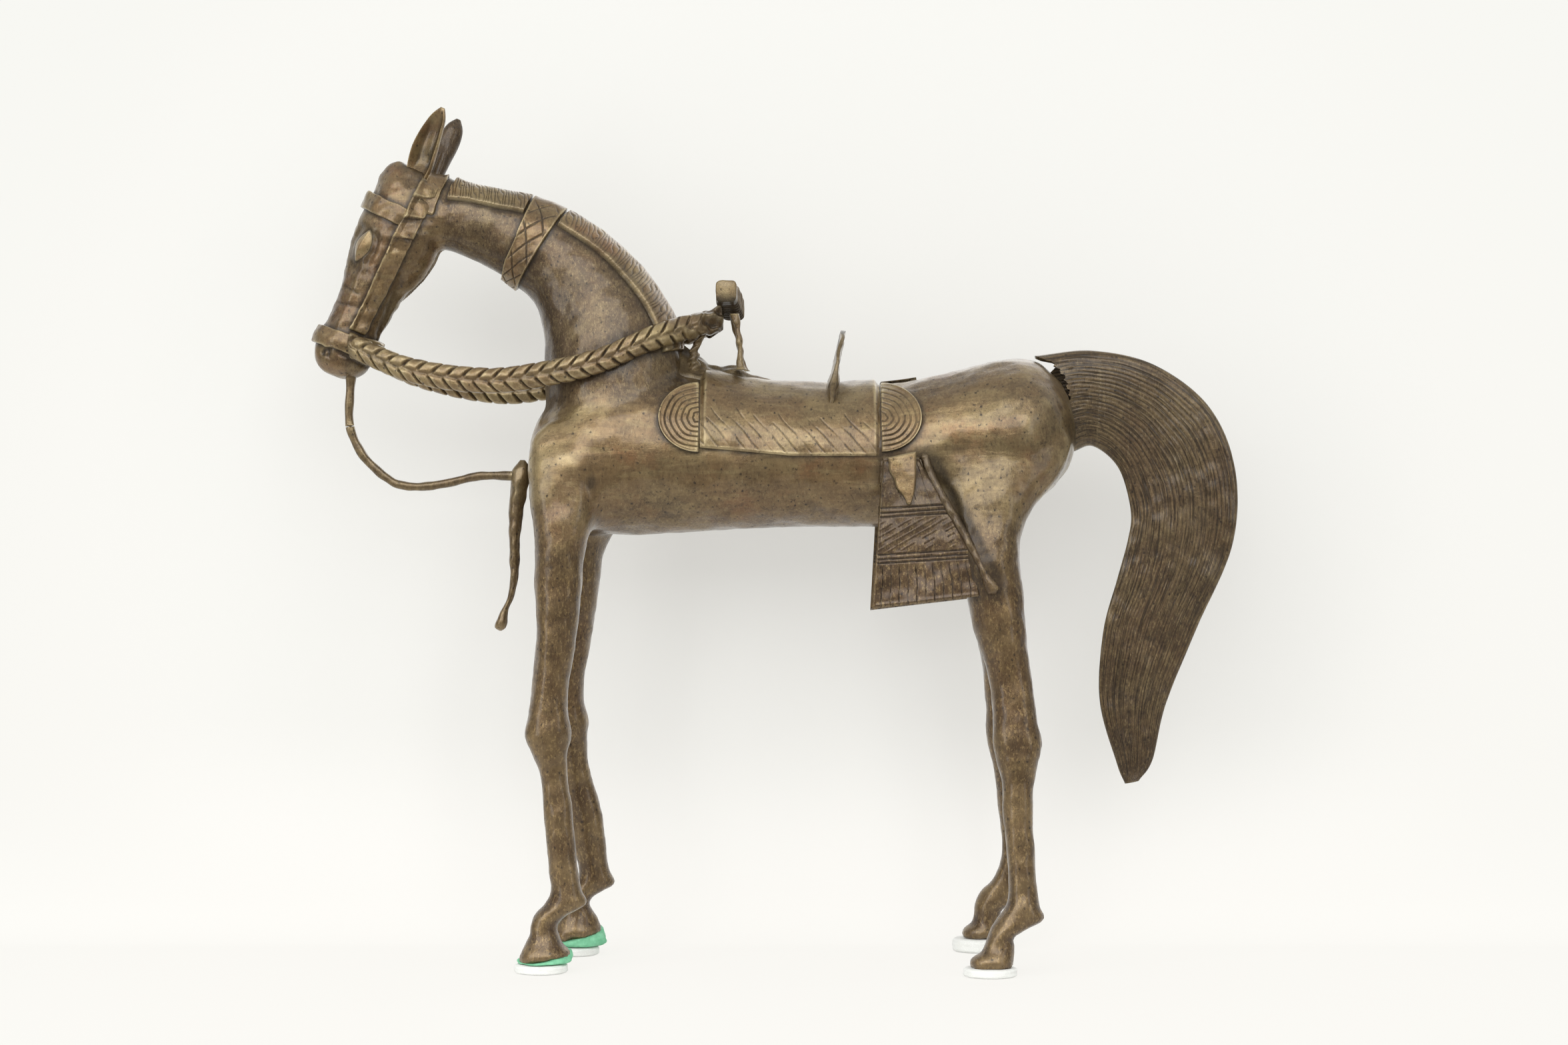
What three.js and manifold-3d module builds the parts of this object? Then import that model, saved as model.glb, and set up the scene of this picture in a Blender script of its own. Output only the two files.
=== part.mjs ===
// A cast bronze riding horse, saddled and bridled, as lost-wax founders make them: a hollow barrel and
// neck, solid legs and head, and trappings laid on as thin strips, plaits and plates. It stands on felt pads.
// Millimetres, +Z up. The horse faces -X, its left side is -Y, and the floor is z = 0.
import * as THREE from "three";
import { mergeVertices } from "three/addons/utils/BufferGeometryUtils.js";
import Module from "manifold-3d";

const wasm = await Module();
wasm.setup();

// Walls and fits
const CLEARANCE = 0.3; // gap between pieces that touch
const CASTING_WALL = 3.5; // wall of the hollow barrel and neck
const TRIM_THICKNESS = 1.6; // straps and strips laid on the casting

// Stand
const PAD_DIAMETER = 25;
const PAD_THICKNESS = 4;
const PAD_REAR_RIGHT = 6.4; // this foot stands on a thicker pad
const PUTTY_OVERHANG = 1.5; // how far the putty squeezes out beyond the pad's radius
const PUTTY_LEFT = 2.4;
const PUTTY_RIGHT = 5;
const FRONT_TRACK = 66; // between the middles of the front hooves
const REAR_TRACK = 92;

// Barrel, measured from the floor and from the upright plane through the middle of the base
const BELLY_HEIGHT = 209.5; // floor to the underside at the seat
const BARREL_HEIGHT = 66;
const BARREL_WIDTH = 68;
const CHEST_X = -118.5;
const CHEST_HEIGHT = 75;
const CHEST_WIDTH = 71;
const CHEST_ROUND = 38; // length over which the chest rounds off
const WITHERS_X = -55;
const WITHERS_HEIGHT = 78;
const WITHERS_LIFT = 3;
const WITHERS_WIDTH = 71;
const SEAT_X = 8;
const LOIN_X = 62;
const LOIN_HEIGHT = 68;
const LOIN_LIFT = 1.7;
const RUMP_X = 143.5;
const RUMP_HEIGHT = 68;
const RUMP_WIDTH = 75;
const RUMP_LIFT = 12; // rise of the rump's middle above the barrel's
const RUMP_ROUND = 29;

// Neck and head
const NECK_BASE_X = -76;
const NECK_BASE_LIFT = 19; // above the barrel's middle, inside the barrel
const NECK_REACH = 81;
const NECK_RISE = 96.7;
const NECK_DEPTH_POLL = 30.6;
const NECK_DEPTH_BASE = 67.5;
const NECK_WIDTH_POLL = 26;
const NECK_WIDTH_BASE = 58;
const CROWN_AHEAD = 12.3; // top of the head, ahead of the end of the neck and above it
const CROWN_ABOVE = 20.5;
const HEAD_LENGTH = 106;
const HEAD_DEPTH = 40.5;
const HEAD_WIDTH = 34;
const HEAD_TILT = 22.4; // degrees from upright, muzzle forward
const EAR_LENGTH = 37.5;
const EAR_WIDTH = 16;
const EAR_THICKNESS = 8;
const EAR_RIM = 1.7;
const EAR_SPREAD = 15; // between the middles of the ears' roots
const EAR_AHEAD = 3; // of the crown's middle
const EAR_SUNK = 5; // root below the crown
const EAR_RIGHT_SETBACK = 4.5; // the right ear stands further back
const EYE_LENGTH = 15;
const EYE_WIDTH = 7.5;
const EYE_AT = 43; // from the crown down the face

// Mane, collar and bridle
const MANE_DEPTH = 8.5;
const MANE_THICKNESS = 1.4;
const MANE_FROM = 0.14; // shares of the way down the neck
const MANE_TO = 0.78;
const COLLAR_AT = 0.375;
const COLLAR_WIDTH = 15;
const COLLAR_THICKNESS = 2;
const STRAP_WIDTH = 9;
const BROWBAND_AT = 22; // from the crown, to the strap's middle
const NOSEBAND_AT = 89;
const NOSEBAND_WIDTH = 8.5;
const CHEEK_STRAP_FROM = 2; // below the crown
const CHEEK_STRAP_BACK = 3; // its upper end behind the head's axis
const CHEEK_STRAP_AHEAD = 2; // its lower end ahead of the axis
const BROWBAND_BACK = 4; // the browband's ends behind the axis
const CROWN_STRAP_WIDTH = 10;
const REIN_HEIGHT = 12;
const REIN_THICKNESS = 8;
const REIN_SAG = 23;
const REIN_LOBES = 22; // lobes of the plait in each row
const LEAD_WIDTH = 5;
const LEAD_THICKNESS = 3.8;
const LEAD_SPLIT_X = -184; // where its drop from the chin ends and its run back to the chest begins
const PENDANT_DROP = 82;
const PENDANT_WIDTH = 9;

// Legs, with heights above the sole
const FORELEG_X = -104.5;
const HIND_LEG_X = 108;
const FORE_TOP_SPREAD = 45; // between the middles of the forelegs, inside the barrel
const HIND_TOP_SPREAD = 42.5;
const FETLOCK_HEIGHT = 25.6;
const KNEE_HEIGHT = 104;
const HIND_FETLOCK_HEIGHT = 22;
const HOCK_HEIGHT = 102;
const FORE_RIGHT_SHIFT = 4.2; // the right legs stand further back as a whole
const FORE_RIGHT_STEP = 7; // and their hooves step back, or forward where it is negative
const HIND_RIGHT_SHIFT = 3.6;
const HIND_RIGHT_STEP = -4;

// Tail
const TAIL_REACH = 77; // behind the rump
const TAIL_DROP = 167; // below the rump's middle
const TAIL_THICKNESS = 5;
const TAIL_ROOT_THICKNESS = 16;
const TAIL_ROOT_WALL = 2.6;
const TAIL_ROOT_HOLLOW = 9; // how deep the root's cup is behind the rump
const TAIL_TEAR = 5; // degrees by which the root has torn open at the top

// Saddle
const CLOTH_FRONT_X = -36;
const CLOTH_REAR_X = 49.6;
const CLOTH_THICKNESS = 1.8;
const CLOTH_EDGE_RISE = 4; // front corner above the barrel's middle
const ROUNDEL_LENGTH = 18.8;
const ROUNDEL_HEIGHT = 31;
const ROUNDEL_LIFT = 18; // middle above the barrel's middle
const ROUNDEL_THICKNESS = 2.6;
const ROUNDEL_RISE = 11; // the right rear roundel sits this much higher, up to the spine
const RIM_FROM_X = -45;
const RIM_LENGTH = 39;
const RIM_WIDTH = 26;
const RIM_THICKNESS = 3.2;
const CANTLE_X = 25.9;
const CANTLE_HEIGHT = 26; // above the back
const CANTLE_WIDTH = 50;
const CANTLE_THICKNESS = 3;
const CANTLE_LEAN = 9; // degrees, to the rear
const REIN_BAR_X = -24.6;
const REIN_BAR_LIFT = 79; // above the barrel's middle
const REIN_BAR_LENGTH = 24;
const REIN_BAR_SIDE = 10;
const REIN_BAR_FALL = 3; // the bar's far end lies this much lower
const REIN_BAR_SKEW = 2; // and this much further back
const STRUT_DIAMETER = 3;
const STRUT_HEAD_BEHIND = 3.4; // behind the bar's near end
const STRUT_FOOT_BEHIND = 8.4;
const STRUT_SPREAD = 8; // between the struts at the bar
const FLAP_TOP_X = 50.4;
const FLAP_TOP_WIDTH = 17.5;
const FLAP_BOTTOM_X = 45;
const FLAP_BOTTOM_WIDTH = 50;
const FLAP_DROP = 71.4;
const FLAP_HEM_RISE = 12.5; // the hem's rear corner above its front corner
const FLAP_THICKNESS = 3;
const FLAP_FLARE = 5; // degrees, away from the body
const TAB_LENGTH = 24;
const TAB_THICKNESS = 1.8;
const STAY_DIAMETER = 3.2;

const LEFT = -1;
const RIGHT = 1;
const BARREL_AXIS = BELLY_HEIGHT + BARREL_HEIGHT / 2;
const ALONG = new THREE.Vector3(1, 0, 0);
const ACROSS = new THREE.Vector3(0, 1, 0);
const UP = new THREE.Vector3(0, 0, 1);
const BEYOND = 90; // half width that passes every flank
const radians = THREE.MathUtils.degToRad;
const sideName = (name, side) => `${name}_${side === LEFT ? "left" : "right"}`;

// Solids

// A smooth line through rows of numbers: each row's first number is its place, the rest are values there.
function smoothRows(rows) {
  const places = rows.map((row) => row[0]);
  const values = rows.flatMap((row) => row.slice(1));
  const line = new THREE.CubicInterpolant(places, values, rows[0].length - 1);
  return (place) => Array.from(line.evaluate(place));
}

function ellipseRing(centre, sideways, up, halfWidth, halfHeight, points, squareness = 2) {
  const ring = [];
  for (let i = 0; i < points; i++) {
    const angle = (i / points) * 2 * Math.PI;
    const c = Math.sign(Math.cos(angle)) * Math.abs(Math.cos(angle)) ** (2 / squareness);
    const s = Math.sign(Math.sin(angle)) * Math.abs(Math.sin(angle)) ** (2 / squareness);
    ring.push(centre.clone().addScaledVector(sideways, c * halfWidth).addScaledVector(up, s * halfHeight));
  }
  return ring;
}

function solidOf(geometry) {
  const bare = new THREE.BufferGeometry().setAttribute("position", geometry.getAttribute("position"));
  bare.setIndex(geometry.index);
  const merged = mergeVertices(bare, 1e-4);
  const vertProperties = new Float32Array(merged.attributes.position.array);
  const triVerts = new Uint32Array(merged.index.array);
  const solid = new wasm.Manifold(new wasm.Mesh({ numProp: 3, vertProperties, triVerts }));
  if (solid.volume() > 0) return solid;
  for (let i = 0; i < triVerts.length; i += 3) {
    [triVerts[i], triVerts[i + 1]] = [triVerts[i + 1], triVerts[i]];
  }
  return new wasm.Manifold(new wasm.Mesh({ numProp: 3, vertProperties, triVerts }));
}

// A closed body skinned over rings of equally many points, with a fan over each end ring.
function skin(rings) {
  const points = rings[0].length;
  const last = (rings.length - 1) * points;
  const index = [];
  for (let r = 0; r + 1 < rings.length; r++) {
    for (let i = 0; i < points; i++) {
      const a = r * points + i;
      const b = r * points + ((i + 1) % points);
      index.push(a, b, a + points, b, b + points, a + points);
    }
  }
  for (let i = 1; i + 1 < points; i++) {
    index.push(0, i + 1, i);
    index.push(last, last + i, last + i + 1);
  }
  const geometry = new THREE.BufferGeometry().setFromPoints(rings.flat());
  geometry.setIndex(index);
  return solidOf(geometry);
}

// An upright slab with its outline in x and z, from one y to another.
function slab(outline, from, to) {
  const shape = new THREE.Shape(outline.map(([x, z]) => new THREE.Vector2(x, z)));
  const geometry = new THREE.ExtrudeGeometry(shape, { depth: to - from, bevelEnabled: false });
  geometry.rotateX(Math.PI / 2);
  geometry.translate(0, to, 0);
  return solidOf(geometry);
}

// The part of a thin skin over a body that lies inside a region.
function overlay(body, thickness, region) {
  return body(CLEARANCE + thickness).subtract(body(CLEARANCE)).intersect(region);
}

// Everything on one side of the middle plane, from a distance out.
function sideRegion(side, from) {
  const reach = 2 * (TAIL_REACH - CHEST_X + NECK_REACH + HEAD_LENGTH);
  const outline = [[-reach, 0], [reach, 0], [reach, reach], [-reach, reach]];
  return side === LEFT ? slab(outline, -BEYOND, -from) : slab(outline, from, BEYOND);
}

function largest(solid) {
  const bodies = solid.decompose();
  return bodies.reduce((best, body) => (body.volume() > best.volume() ? body : best));
}

// A piece less its neighbours, which are given already grown by their clearance.
function cutBy(solid, ...neighbours) {
  return largest(neighbours.reduce((rest, neighbour) => rest.subtract(neighbour), solid));
}

// A round or oval rod along a curve in the upright middle plane or beside it.
function rod(curve, steps, points, sizeAt) {
  const rings = [];
  for (let i = 0; i <= steps; i++) {
    const along = i / steps;
    const tangent = curve.getTangentAt(along);
    const sideways = new THREE.Vector3().crossVectors(tangent, UP);
    if (sideways.length() < 0.2) sideways.copy(ACROSS);
    sideways.normalize();
    const up = new THREE.Vector3().crossVectors(sideways, tangent).normalize();
    const [halfWidth, halfHeight] = sizeAt(along);
    rings.push(ellipseRing(curve.getPointAt(along), sideways, up, halfWidth, halfHeight, points));
  }
  return skin(rings);
}

// Barrel

const torsoLine = smoothRows([
  [CHEST_X, -1, CHEST_HEIGHT / 2, CHEST_WIDTH / 2],
  [WITHERS_X, WITHERS_LIFT, WITHERS_HEIGHT / 2, WITHERS_WIDTH / 2],
  [SEAT_X, 0, BARREL_HEIGHT / 2, BARREL_WIDTH / 2],
  [LOIN_X, LOIN_LIFT, LOIN_HEIGHT / 2, BARREL_WIDTH / 2],
  [RUMP_X - RUMP_ROUND, RUMP_LIFT, RUMP_HEIGHT / 2, RUMP_WIDTH / 2],
  [RUMP_X, RUMP_LIFT, RUMP_HEIGHT / 2, RUMP_WIDTH / 2],
]);

function torsoSection(x) {
  const [lift, halfHeight, halfWidth] = torsoLine(x);
  const intoChest = (CHEST_X + CHEST_ROUND - x) / CHEST_ROUND;
  const intoRump = (x - RUMP_X + RUMP_ROUND) / RUMP_ROUND;
  const round = Math.sqrt(1 - Math.max(0, intoChest, intoRump) ** 2);
  return { axis: BARREL_AXIS + lift, halfHeight: halfHeight * round, halfWidth: halfWidth * round };
}

function torsoTop(x) {
  const { axis, halfHeight } = torsoSection(x);
  return axis + halfHeight;
}

function torsoSide(x, z) {
  const { axis, halfHeight, halfWidth } = torsoSection(x);
  return halfWidth * Math.sqrt(Math.max(0, 1 - ((z - axis) / halfHeight) ** 2));
}

// The barrel's outside, or an inner or outer copy of it where grow isn't zero.
function torsoBody(grow, points = 22, rings = 9, ends = [0.985, 0.92, 0.8, 0.6, 0.3]) {
  const front = CHEST_X + CHEST_ROUND;
  const rear = RUMP_X - RUMP_ROUND;
  const places = ends.map((end) => [front - end * CHEST_ROUND, -end * grow]);
  for (let i = 0; i <= rings; i++) places.push([front + ((rear - front) * i) / rings, 0]);
  for (const end of ends.toReversed()) places.push([rear + end * RUMP_ROUND, end * grow]);
  const made = places.map(([x, shift]) => {
    const { axis, halfHeight, halfWidth } = torsoSection(x);
    const centre = new THREE.Vector3(x + shift, 0, axis);
    return ellipseRing(centre, ACROSS, UP, halfWidth + grow, halfHeight + grow, points);
  });
  return skin(made);
}

// Neck: shares of its reach and rise from the base to the poll, then of the change in depth and in width.
const NECK_SHAPE = [
  [1.16, 1.013, -0.1, -0.03],
  [1, 1, 0, 0],
  [0.767, 0.947, 0.1, 0.06],
  [0.515, 0.868, 0.28, 0.19],
  [0.291, 0.735, 0.41, 0.34],
  [0.148, 0.576, 0.64, 0.53],
  [0.046, 0.361, 0.91, 0.81],
  [0, 0.103, 1, 1],
  [0, 0, 0.9, 0.94],
];
const neckBase = new THREE.Vector3(NECK_BASE_X, 0, BARREL_AXIS + NECK_BASE_LIFT);
const poll = new THREE.Vector3(neckBase.x - NECK_REACH, 0, neckBase.z + NECK_RISE);
const neckSpine = new THREE.CatmullRomCurve3(
  NECK_SHAPE.map(([reach, rise]) => {
    return new THREE.Vector3(neckBase.x - reach * NECK_REACH, 0, neckBase.z + rise * NECK_RISE);
  }),
);
const neckSizes = smoothRows(
  NECK_SHAPE.map(([, , deep, wide], i) => [
    i / (NECK_SHAPE.length - 1),
    THREE.MathUtils.lerp(NECK_DEPTH_POLL, NECK_DEPTH_BASE, deep) / 2,
    THREE.MathUtils.lerp(NECK_WIDTH_POLL, NECK_WIDTH_BASE, wide) / 2,
  ]),
);

function neckSection(along) {
  const tangent = neckSpine.getTangent(along);
  const crest = new THREE.Vector3(-tangent.z, 0, tangent.x);
  const [halfDepth, halfWidth] = neckSizes(along);
  return { centre: neckSpine.getPoint(along), tangent, crest, halfDepth, halfWidth };
}

function neckBody(grow, from = 0, rings = 14, points = 16) {
  const made = [];
  for (let i = 0; i <= rings; i++) {
    const { centre, crest, halfDepth, halfWidth } = neckSection(from + ((1 - from) * i) / rings);
    made.push(ellipseRing(centre, ACROSS, crest, halfWidth + grow, halfDepth + grow, points));
  }
  return skin(made);
}

// Half width of the neck beside a point of the middle plane.
function neckSide(x, z) {
  const steps = 120;
  let side = 0;
  for (let i = 0; i <= steps; i++) {
    const { centre, tangent, crest, halfDepth, halfWidth } = neckSection(i / steps);
    const from = new THREE.Vector3(x, 0, z).sub(centre);
    const off = from.dot(crest) / halfDepth;
    if (Math.abs(from.dot(tangent)) > 1.5 || Math.abs(off) > 1) continue;
    side = Math.max(side, halfWidth * Math.sqrt(1 - off * off));
  }
  return side;
}

// Head: shares of its length from the crown, of its depth to the face and to the jaw, and of its width.
const headLine = smoothRows([
  [0, -0.4, 0.29, 0.29],
  [0.076, -0.49, 0.41, 0.4],
  [0.171, -0.48, 0.475, 0.47],
  [0.286, -0.49, 0.507, 0.5],
  [0.4, -0.472, 0.478, 0.47],
  [0.524, -0.415, 0.38, 0.39],
  [0.648, -0.39, 0.315, 0.33],
  [0.781, -0.405, 0.275, 0.32],
  [0.876, -0.42, 0.305, 0.35],
  [0.933, -0.38, 0.27, 0.32],
  [0.976, -0.28, 0.165, 0.23],
  [1, -0.12, 0.03, 0.1],
]);
const headDown = new THREE.Vector3(-Math.sin(radians(HEAD_TILT)), 0, -Math.cos(radians(HEAD_TILT)));
const headBack = new THREE.Vector3(Math.cos(radians(HEAD_TILT)), 0, -Math.sin(radians(HEAD_TILT)));
const crown = new THREE.Vector3(poll.x - CROWN_AHEAD, 0, poll.z + CROWN_ABOVE);

function onHead(down, back, y = 0) {
  const point = crown.clone().addScaledVector(headDown, down).addScaledVector(headBack, back);
  return point.setY(y);
}

function headSection(down) {
  const [face, jaw, half] = headLine(down / HEAD_LENGTH);
  return { face: face * HEAD_DEPTH, jaw: jaw * HEAD_DEPTH, halfWidth: half * HEAD_WIDTH };
}

// Half width of the head beside a point, given by its distance down from the crown and back from the axis.
function headSide(down, back) {
  const { face, jaw, halfWidth } = headSection(down);
  const off = (back - (face + jaw) / 2) / ((jaw - face) / 2);
  return halfWidth * Math.sqrt(Math.max(0, 1 - off * off));
}

function headBody(grow) {
  const places = [0, 0.05, 0.11, 0.18, 0.26, 0.34, 0.42, 0.5, 0.58, 0.67, 0.76, 0.84, 0.9, 0.95, 0.985, 1];
  const rings = places.map((place) => {
    const down = place * HEAD_LENGTH;
    const { face, jaw, halfWidth } = headSection(down);
    const outward = place === 0 ? -grow : place === 1 ? grow : 0;
    const centre = onHead(down + outward, (face + jaw) / 2);
    return ellipseRing(centre, ACROSS, headBack, halfWidth + grow, (jaw - face) / 2 + grow, 14);
  });
  return skin(rings);
}

// A region of the head: an outline in distance down from the crown and back from the head's axis.
function headRegion(outline, from = -BEYOND, to = BEYOND) {
  return slab(outline.map(([down, back]) => {
    const point = onHead(down, back);
    return [point.x, point.z];
  }), from, to);
}

// The ear, or a grown copy of it without its hollow.
function ear(side, grow = 0) {
  const setback = side === RIGHT ? EAR_RIGHT_SETBACK : 0;
  const root = crown.clone().add(new THREE.Vector3(setback - EAR_AHEAD, (side * EAR_SPREAD) / 2, -EAR_SUNK));
  const along = new THREE.Vector3(0.34, side * 0.17, 0.92).normalize();
  const out = new THREE.Vector3(-0.3, side, -0.07).normalize();
  const wide = new THREE.Vector3().crossVectors(along, out).normalize();
  const leaf = smoothRows([
    [0, 0.72, 1],
    [0.3, 1, 0.95],
    [0.55, 0.92, 0.8],
    [0.8, 0.6, 0.6],
    [0.94, 0.3, 0.42],
    [1, 0.12, 0.3],
  ]);
  const rings = [];
  const hollow = [];
  const steps = 9;
  const points = 10;
  for (let i = 0; i <= steps; i++) {
    const share = i / steps;
    const [halfWide, halfThick] = leaf(share);
    const centre = root.clone().addScaledVector(along, share * EAR_LENGTH);
    const half = (halfWide * EAR_WIDTH) / 2;
    rings.push(ellipseRing(centre, wide, out, half + grow, (halfThick * EAR_THICKNESS) / 2 + grow, points));
    if (share < 0.2 || share > 0.85) continue;
    const mouth = centre.clone().addScaledVector(out, EAR_THICKNESS / 2);
    hollow.push(ellipseRing(mouth, wide, out, half - EAR_RIM, EAR_THICKNESS * 0.62 * halfThick, points));
  }
  return grow > 0 ? skin(rings) : skin(rings).subtract(skin(hollow));
}

function eye(side) {
  const { face } = headSection(EYE_AT);
  const back = face * 0.66;
  const centre = onHead(EYE_AT, back, side * headSide(EYE_AT, back));
  const almond = new THREE.SphereGeometry(0.5, 10, 7);
  almond.scale(EYE_LENGTH, EYE_WIDTH, EYE_WIDTH);
  almond.rotateY(radians(90 - HEAD_TILT / 2));
  almond.translate(centre.x, centre.y, centre.z);
  return solidOf(almond);
}

// Mane and collar

// A strip along the crest of the neck, from one share of its length to another.
function crestRegion(from, to) {
  const steps = 8;
  const outer = [];
  const inner = [];
  for (let i = 0; i <= steps; i++) {
    const { centre, crest, halfDepth } = neckSection(from + ((to - from) * i) / steps);
    const edge = centre.clone().addScaledVector(crest, halfDepth - MANE_DEPTH);
    const beyond = edge.clone().addScaledVector(crest, 2 * MANE_DEPTH);
    inner.push([edge.x, edge.z]);
    outer.push([beyond.x, beyond.z]);
  }
  return slab([...inner, ...outer.reverse()], -BEYOND, BEYOND);
}

// A band square across the neck, with its middle at a share of the neck's length.
function neckBandRegion(at, width) {
  const { centre, tangent, crest, halfDepth } = neckSection(at);
  const reach = halfDepth * 1.7;
  const corner = (along, up) => {
    const point = centre.clone().addScaledVector(tangent, along).addScaledVector(crest, up);
    return [point.x, point.z];
  };
  const half = width / 2;
  return slab([corner(-half, -reach), corner(half, -reach), corner(half, reach), corner(-half, reach)],
    -BEYOND, BEYOND);
}

// Legs: rows of height above the sole, front and back edge from the leg's line, and half width.
function forelegRows(shoulder) {
  return [
    [0, -17, 6.5, 11],
    [3, -16.6, 6.3, 10.8],
    [8, -13.2, 2.2, 8.4],
    [16, -11, 1, 6.8],
    [FETLOCK_HEIGHT - 4.6, -8.5, 8, 7],
    [FETLOCK_HEIGHT, -4.4, 15.2, 7],
    [FETLOCK_HEIGHT + 5, -1.3, 13.4, 6.8],
    [FETLOCK_HEIGHT + 17, -1.7, 11.6, 6.5],
    [KNEE_HEIGHT - 39, -3.9, 9.7, 6.6],
    [KNEE_HEIGHT - 14, -7.4, 6, 7],
    [KNEE_HEIGHT - 7, -11, 6.4, 8.4],
    [KNEE_HEIGHT, -13.8, 8.1, 9.4],
    [KNEE_HEIGHT + 10, -11.9, 6.4, 9],
    [KNEE_HEIGHT + 40, -9.1, 9.4, 10],
    [shoulder - 64, -9.3, 12.8, 12],
    [shoulder - 34, -11, 15.6, 14.5],
    [shoulder - 18, -12.5, 18.5, 13.5],
    [shoulder - 2, -13, 21, 12],
    [shoulder + 8, -10, 20, 9],
    [shoulder + 15, -3, 14, 4],
  ];
}

function hindLegRows(hip) {
  return [
    [0, -17, 2.2, 9.5],
    [3, -16.4, 2.2, 9.2],
    [8, -10.8, 2, 7.6],
    [14, -9, 2.2, 6.8],
    [HIND_FETLOCK_HEIGHT - 4.5, -7.2, 9, 7],
    [HIND_FETLOCK_HEIGHT, -4.6, 16.8, 7],
    [HIND_FETLOCK_HEIGHT + 5.5, -0.6, 15.4, 6.8],
    [HIND_FETLOCK_HEIGHT + 12, 0.9, 14.2, 6.5],
    [HOCK_HEIGHT - 52, 0.5, 13, 6.5],
    [HOCK_HEIGHT - 32, -1, 12.3, 6.6],
    [HOCK_HEIGHT - 15, -2.4, 13, 7.2],
    [HOCK_HEIGHT - 7, -4.6, 14.6, 8.4],
    [HOCK_HEIGHT, -5.7, 16.4, 9.2],
    [HOCK_HEIGHT + 13, -5.5, 14, 8.8],
    [HOCK_HEIGHT + 33, -7.7, 11.3, 9.6],
    [hip - 82, -14.5, 9, 13],
    [hip - 63, -18.5, 7.5, 15.5],
    [hip - 46, -23, 7, 17],
    [hip - 22, -27, 13, 15.5],
    [hip - 13, -31, 18, 15],
    [hip - 4, -34, 23, 14],
    [hip + 8, -33, 25, 11],
    [hip + 18, -24, 19, 5],
  ];
}

// The half track of a leg falls in a straight line from its hoof to its top, and a hoof that steps back
// draws the leg below the knee or hock with it.
function legPlan(rows, x, sole, topSpread, track, joint, step) {
  const line = smoothRows(rows);
  const top = rows[rows.length - 1][0];
  return (height) => {
    const [front, back, halfWidth] = line(height);
    const offset = THREE.MathUtils.lerp(track, topSpread, height / top) / 2;
    const stepped = step * THREE.MathUtils.clamp(1 - height / (1.25 * joint), 0, 1);
    return { front: x + front + stepped, back: x + back + stepped, offset, halfWidth, z: sole + height, top };
  };
}

function legBody(plan, rows, side, grow) {
  const stepLength = 20;
  const rings = [];
  const points = 10;
  rows.forEach(([height], i) => {
    const next = i + 1 < rows.length ? rows[i + 1][0] : height;
    const steps = Math.max(1, Math.ceil((next - height) / stepLength));
    for (let s = 0; s < steps; s++) {
      const { front, back, offset, halfWidth, z } = plan(height + ((next - height) * s) / steps);
      const outward = i === 0 && s === 0 ? -grow : 0;
      const centre = new THREE.Vector3((front + back) / 2, side * offset, z + outward);
      const half = (back - front) / 2 + grow;
      rings.push(ellipseRing(centre, ACROSS, ALONG, halfWidth + grow, half, points, 2.2));
    }
  });
  return skin(rings);
}

const forelegs = [LEFT, RIGHT].map((side) => {
  const putty = side === LEFT ? PUTTY_LEFT : PUTTY_RIGHT;
  const sole = PAD_THICKNESS + CLEARANCE + putty + CLEARANCE;
  const rows = forelegRows(BARREL_AXIS - sole);
  const x = side === LEFT ? FORELEG_X : FORELEG_X + FORE_RIGHT_SHIFT;
  const step = side === LEFT ? 0 : FORE_RIGHT_STEP;
  const plan = legPlan(rows, x, sole, FORE_TOP_SPREAD, FRONT_TRACK, KNEE_HEIGHT, step);
  return { name: sideName("foreleg", side), side, pad: PAD_THICKNESS, putty, rows, plan };
});
const hindLegs = [LEFT, RIGHT].map((side) => {
  const pad = side === LEFT ? PAD_THICKNESS : PAD_REAR_RIGHT;
  const sole = pad + CLEARANCE;
  const rows = hindLegRows(BARREL_AXIS - sole);
  const x = side === LEFT ? HIND_LEG_X : HIND_LEG_X + HIND_RIGHT_SHIFT;
  const step = side === LEFT ? 0 : HIND_RIGHT_STEP;
  const plan = legPlan(rows, x, sole, HIND_TOP_SPREAD, REAR_TRACK, HOCK_HEIGHT, step);
  return { name: sideName("hind_leg", side), side, pad, putty: 0, rows, plan };
});

function hoofMiddle({ plan, side }) {
  const { front, back, offset } = plan(0);
  return { x: (front + back) / 2, y: side * offset };
}

function footPad(leg) {
  const radius = PAD_DIAMETER / 2;
  const edge = leg.pad * 0.15;
  const profile = [
    [0, 0],
    [radius - edge, 0],
    [radius, edge],
    [radius, leg.pad - edge],
    [radius - edge, leg.pad],
    [0, leg.pad],
  ];
  const pad = new THREE.LatheGeometry(profile.map(([x, y]) => new THREE.Vector2(x, y)), 16);
  const { x, y } = hoofMiddle(leg);
  pad.rotateX(Math.PI / 2);
  pad.translate(x, y, 0);
  return solidOf(pad);
}

// A lump pressed flat between pad and hoof, with an uneven outline.
function putty(leg) {
  const points = 16;
  const rings = [];
  const low = leg.pad + CLEARANCE;
  for (const share of [0, 0.35, 0.75, 1]) {
    const ring = [];
    for (let i = 0; i < points; i++) {
      const angle = (i / points) * 2 * Math.PI;
      const uneven = 0.9 + 0.06 * Math.sin(2 * angle + 1) + 0.04 * Math.sin(5 * angle);
      const bulge = 1 - 0.12 * (2 * share - 0.8) ** 2;
      const radius = (PAD_DIAMETER / 2 + PUTTY_OVERHANG) * uneven * bulge;
      const { x, y } = hoofMiddle(leg);
      const z = low + share * leg.putty;
      ring.push(new THREE.Vector3(x + radius * Math.cos(angle), y + radius * Math.sin(angle), z));
    }
    rings.push(ring);
  }
  return skin(rings);
}

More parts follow.
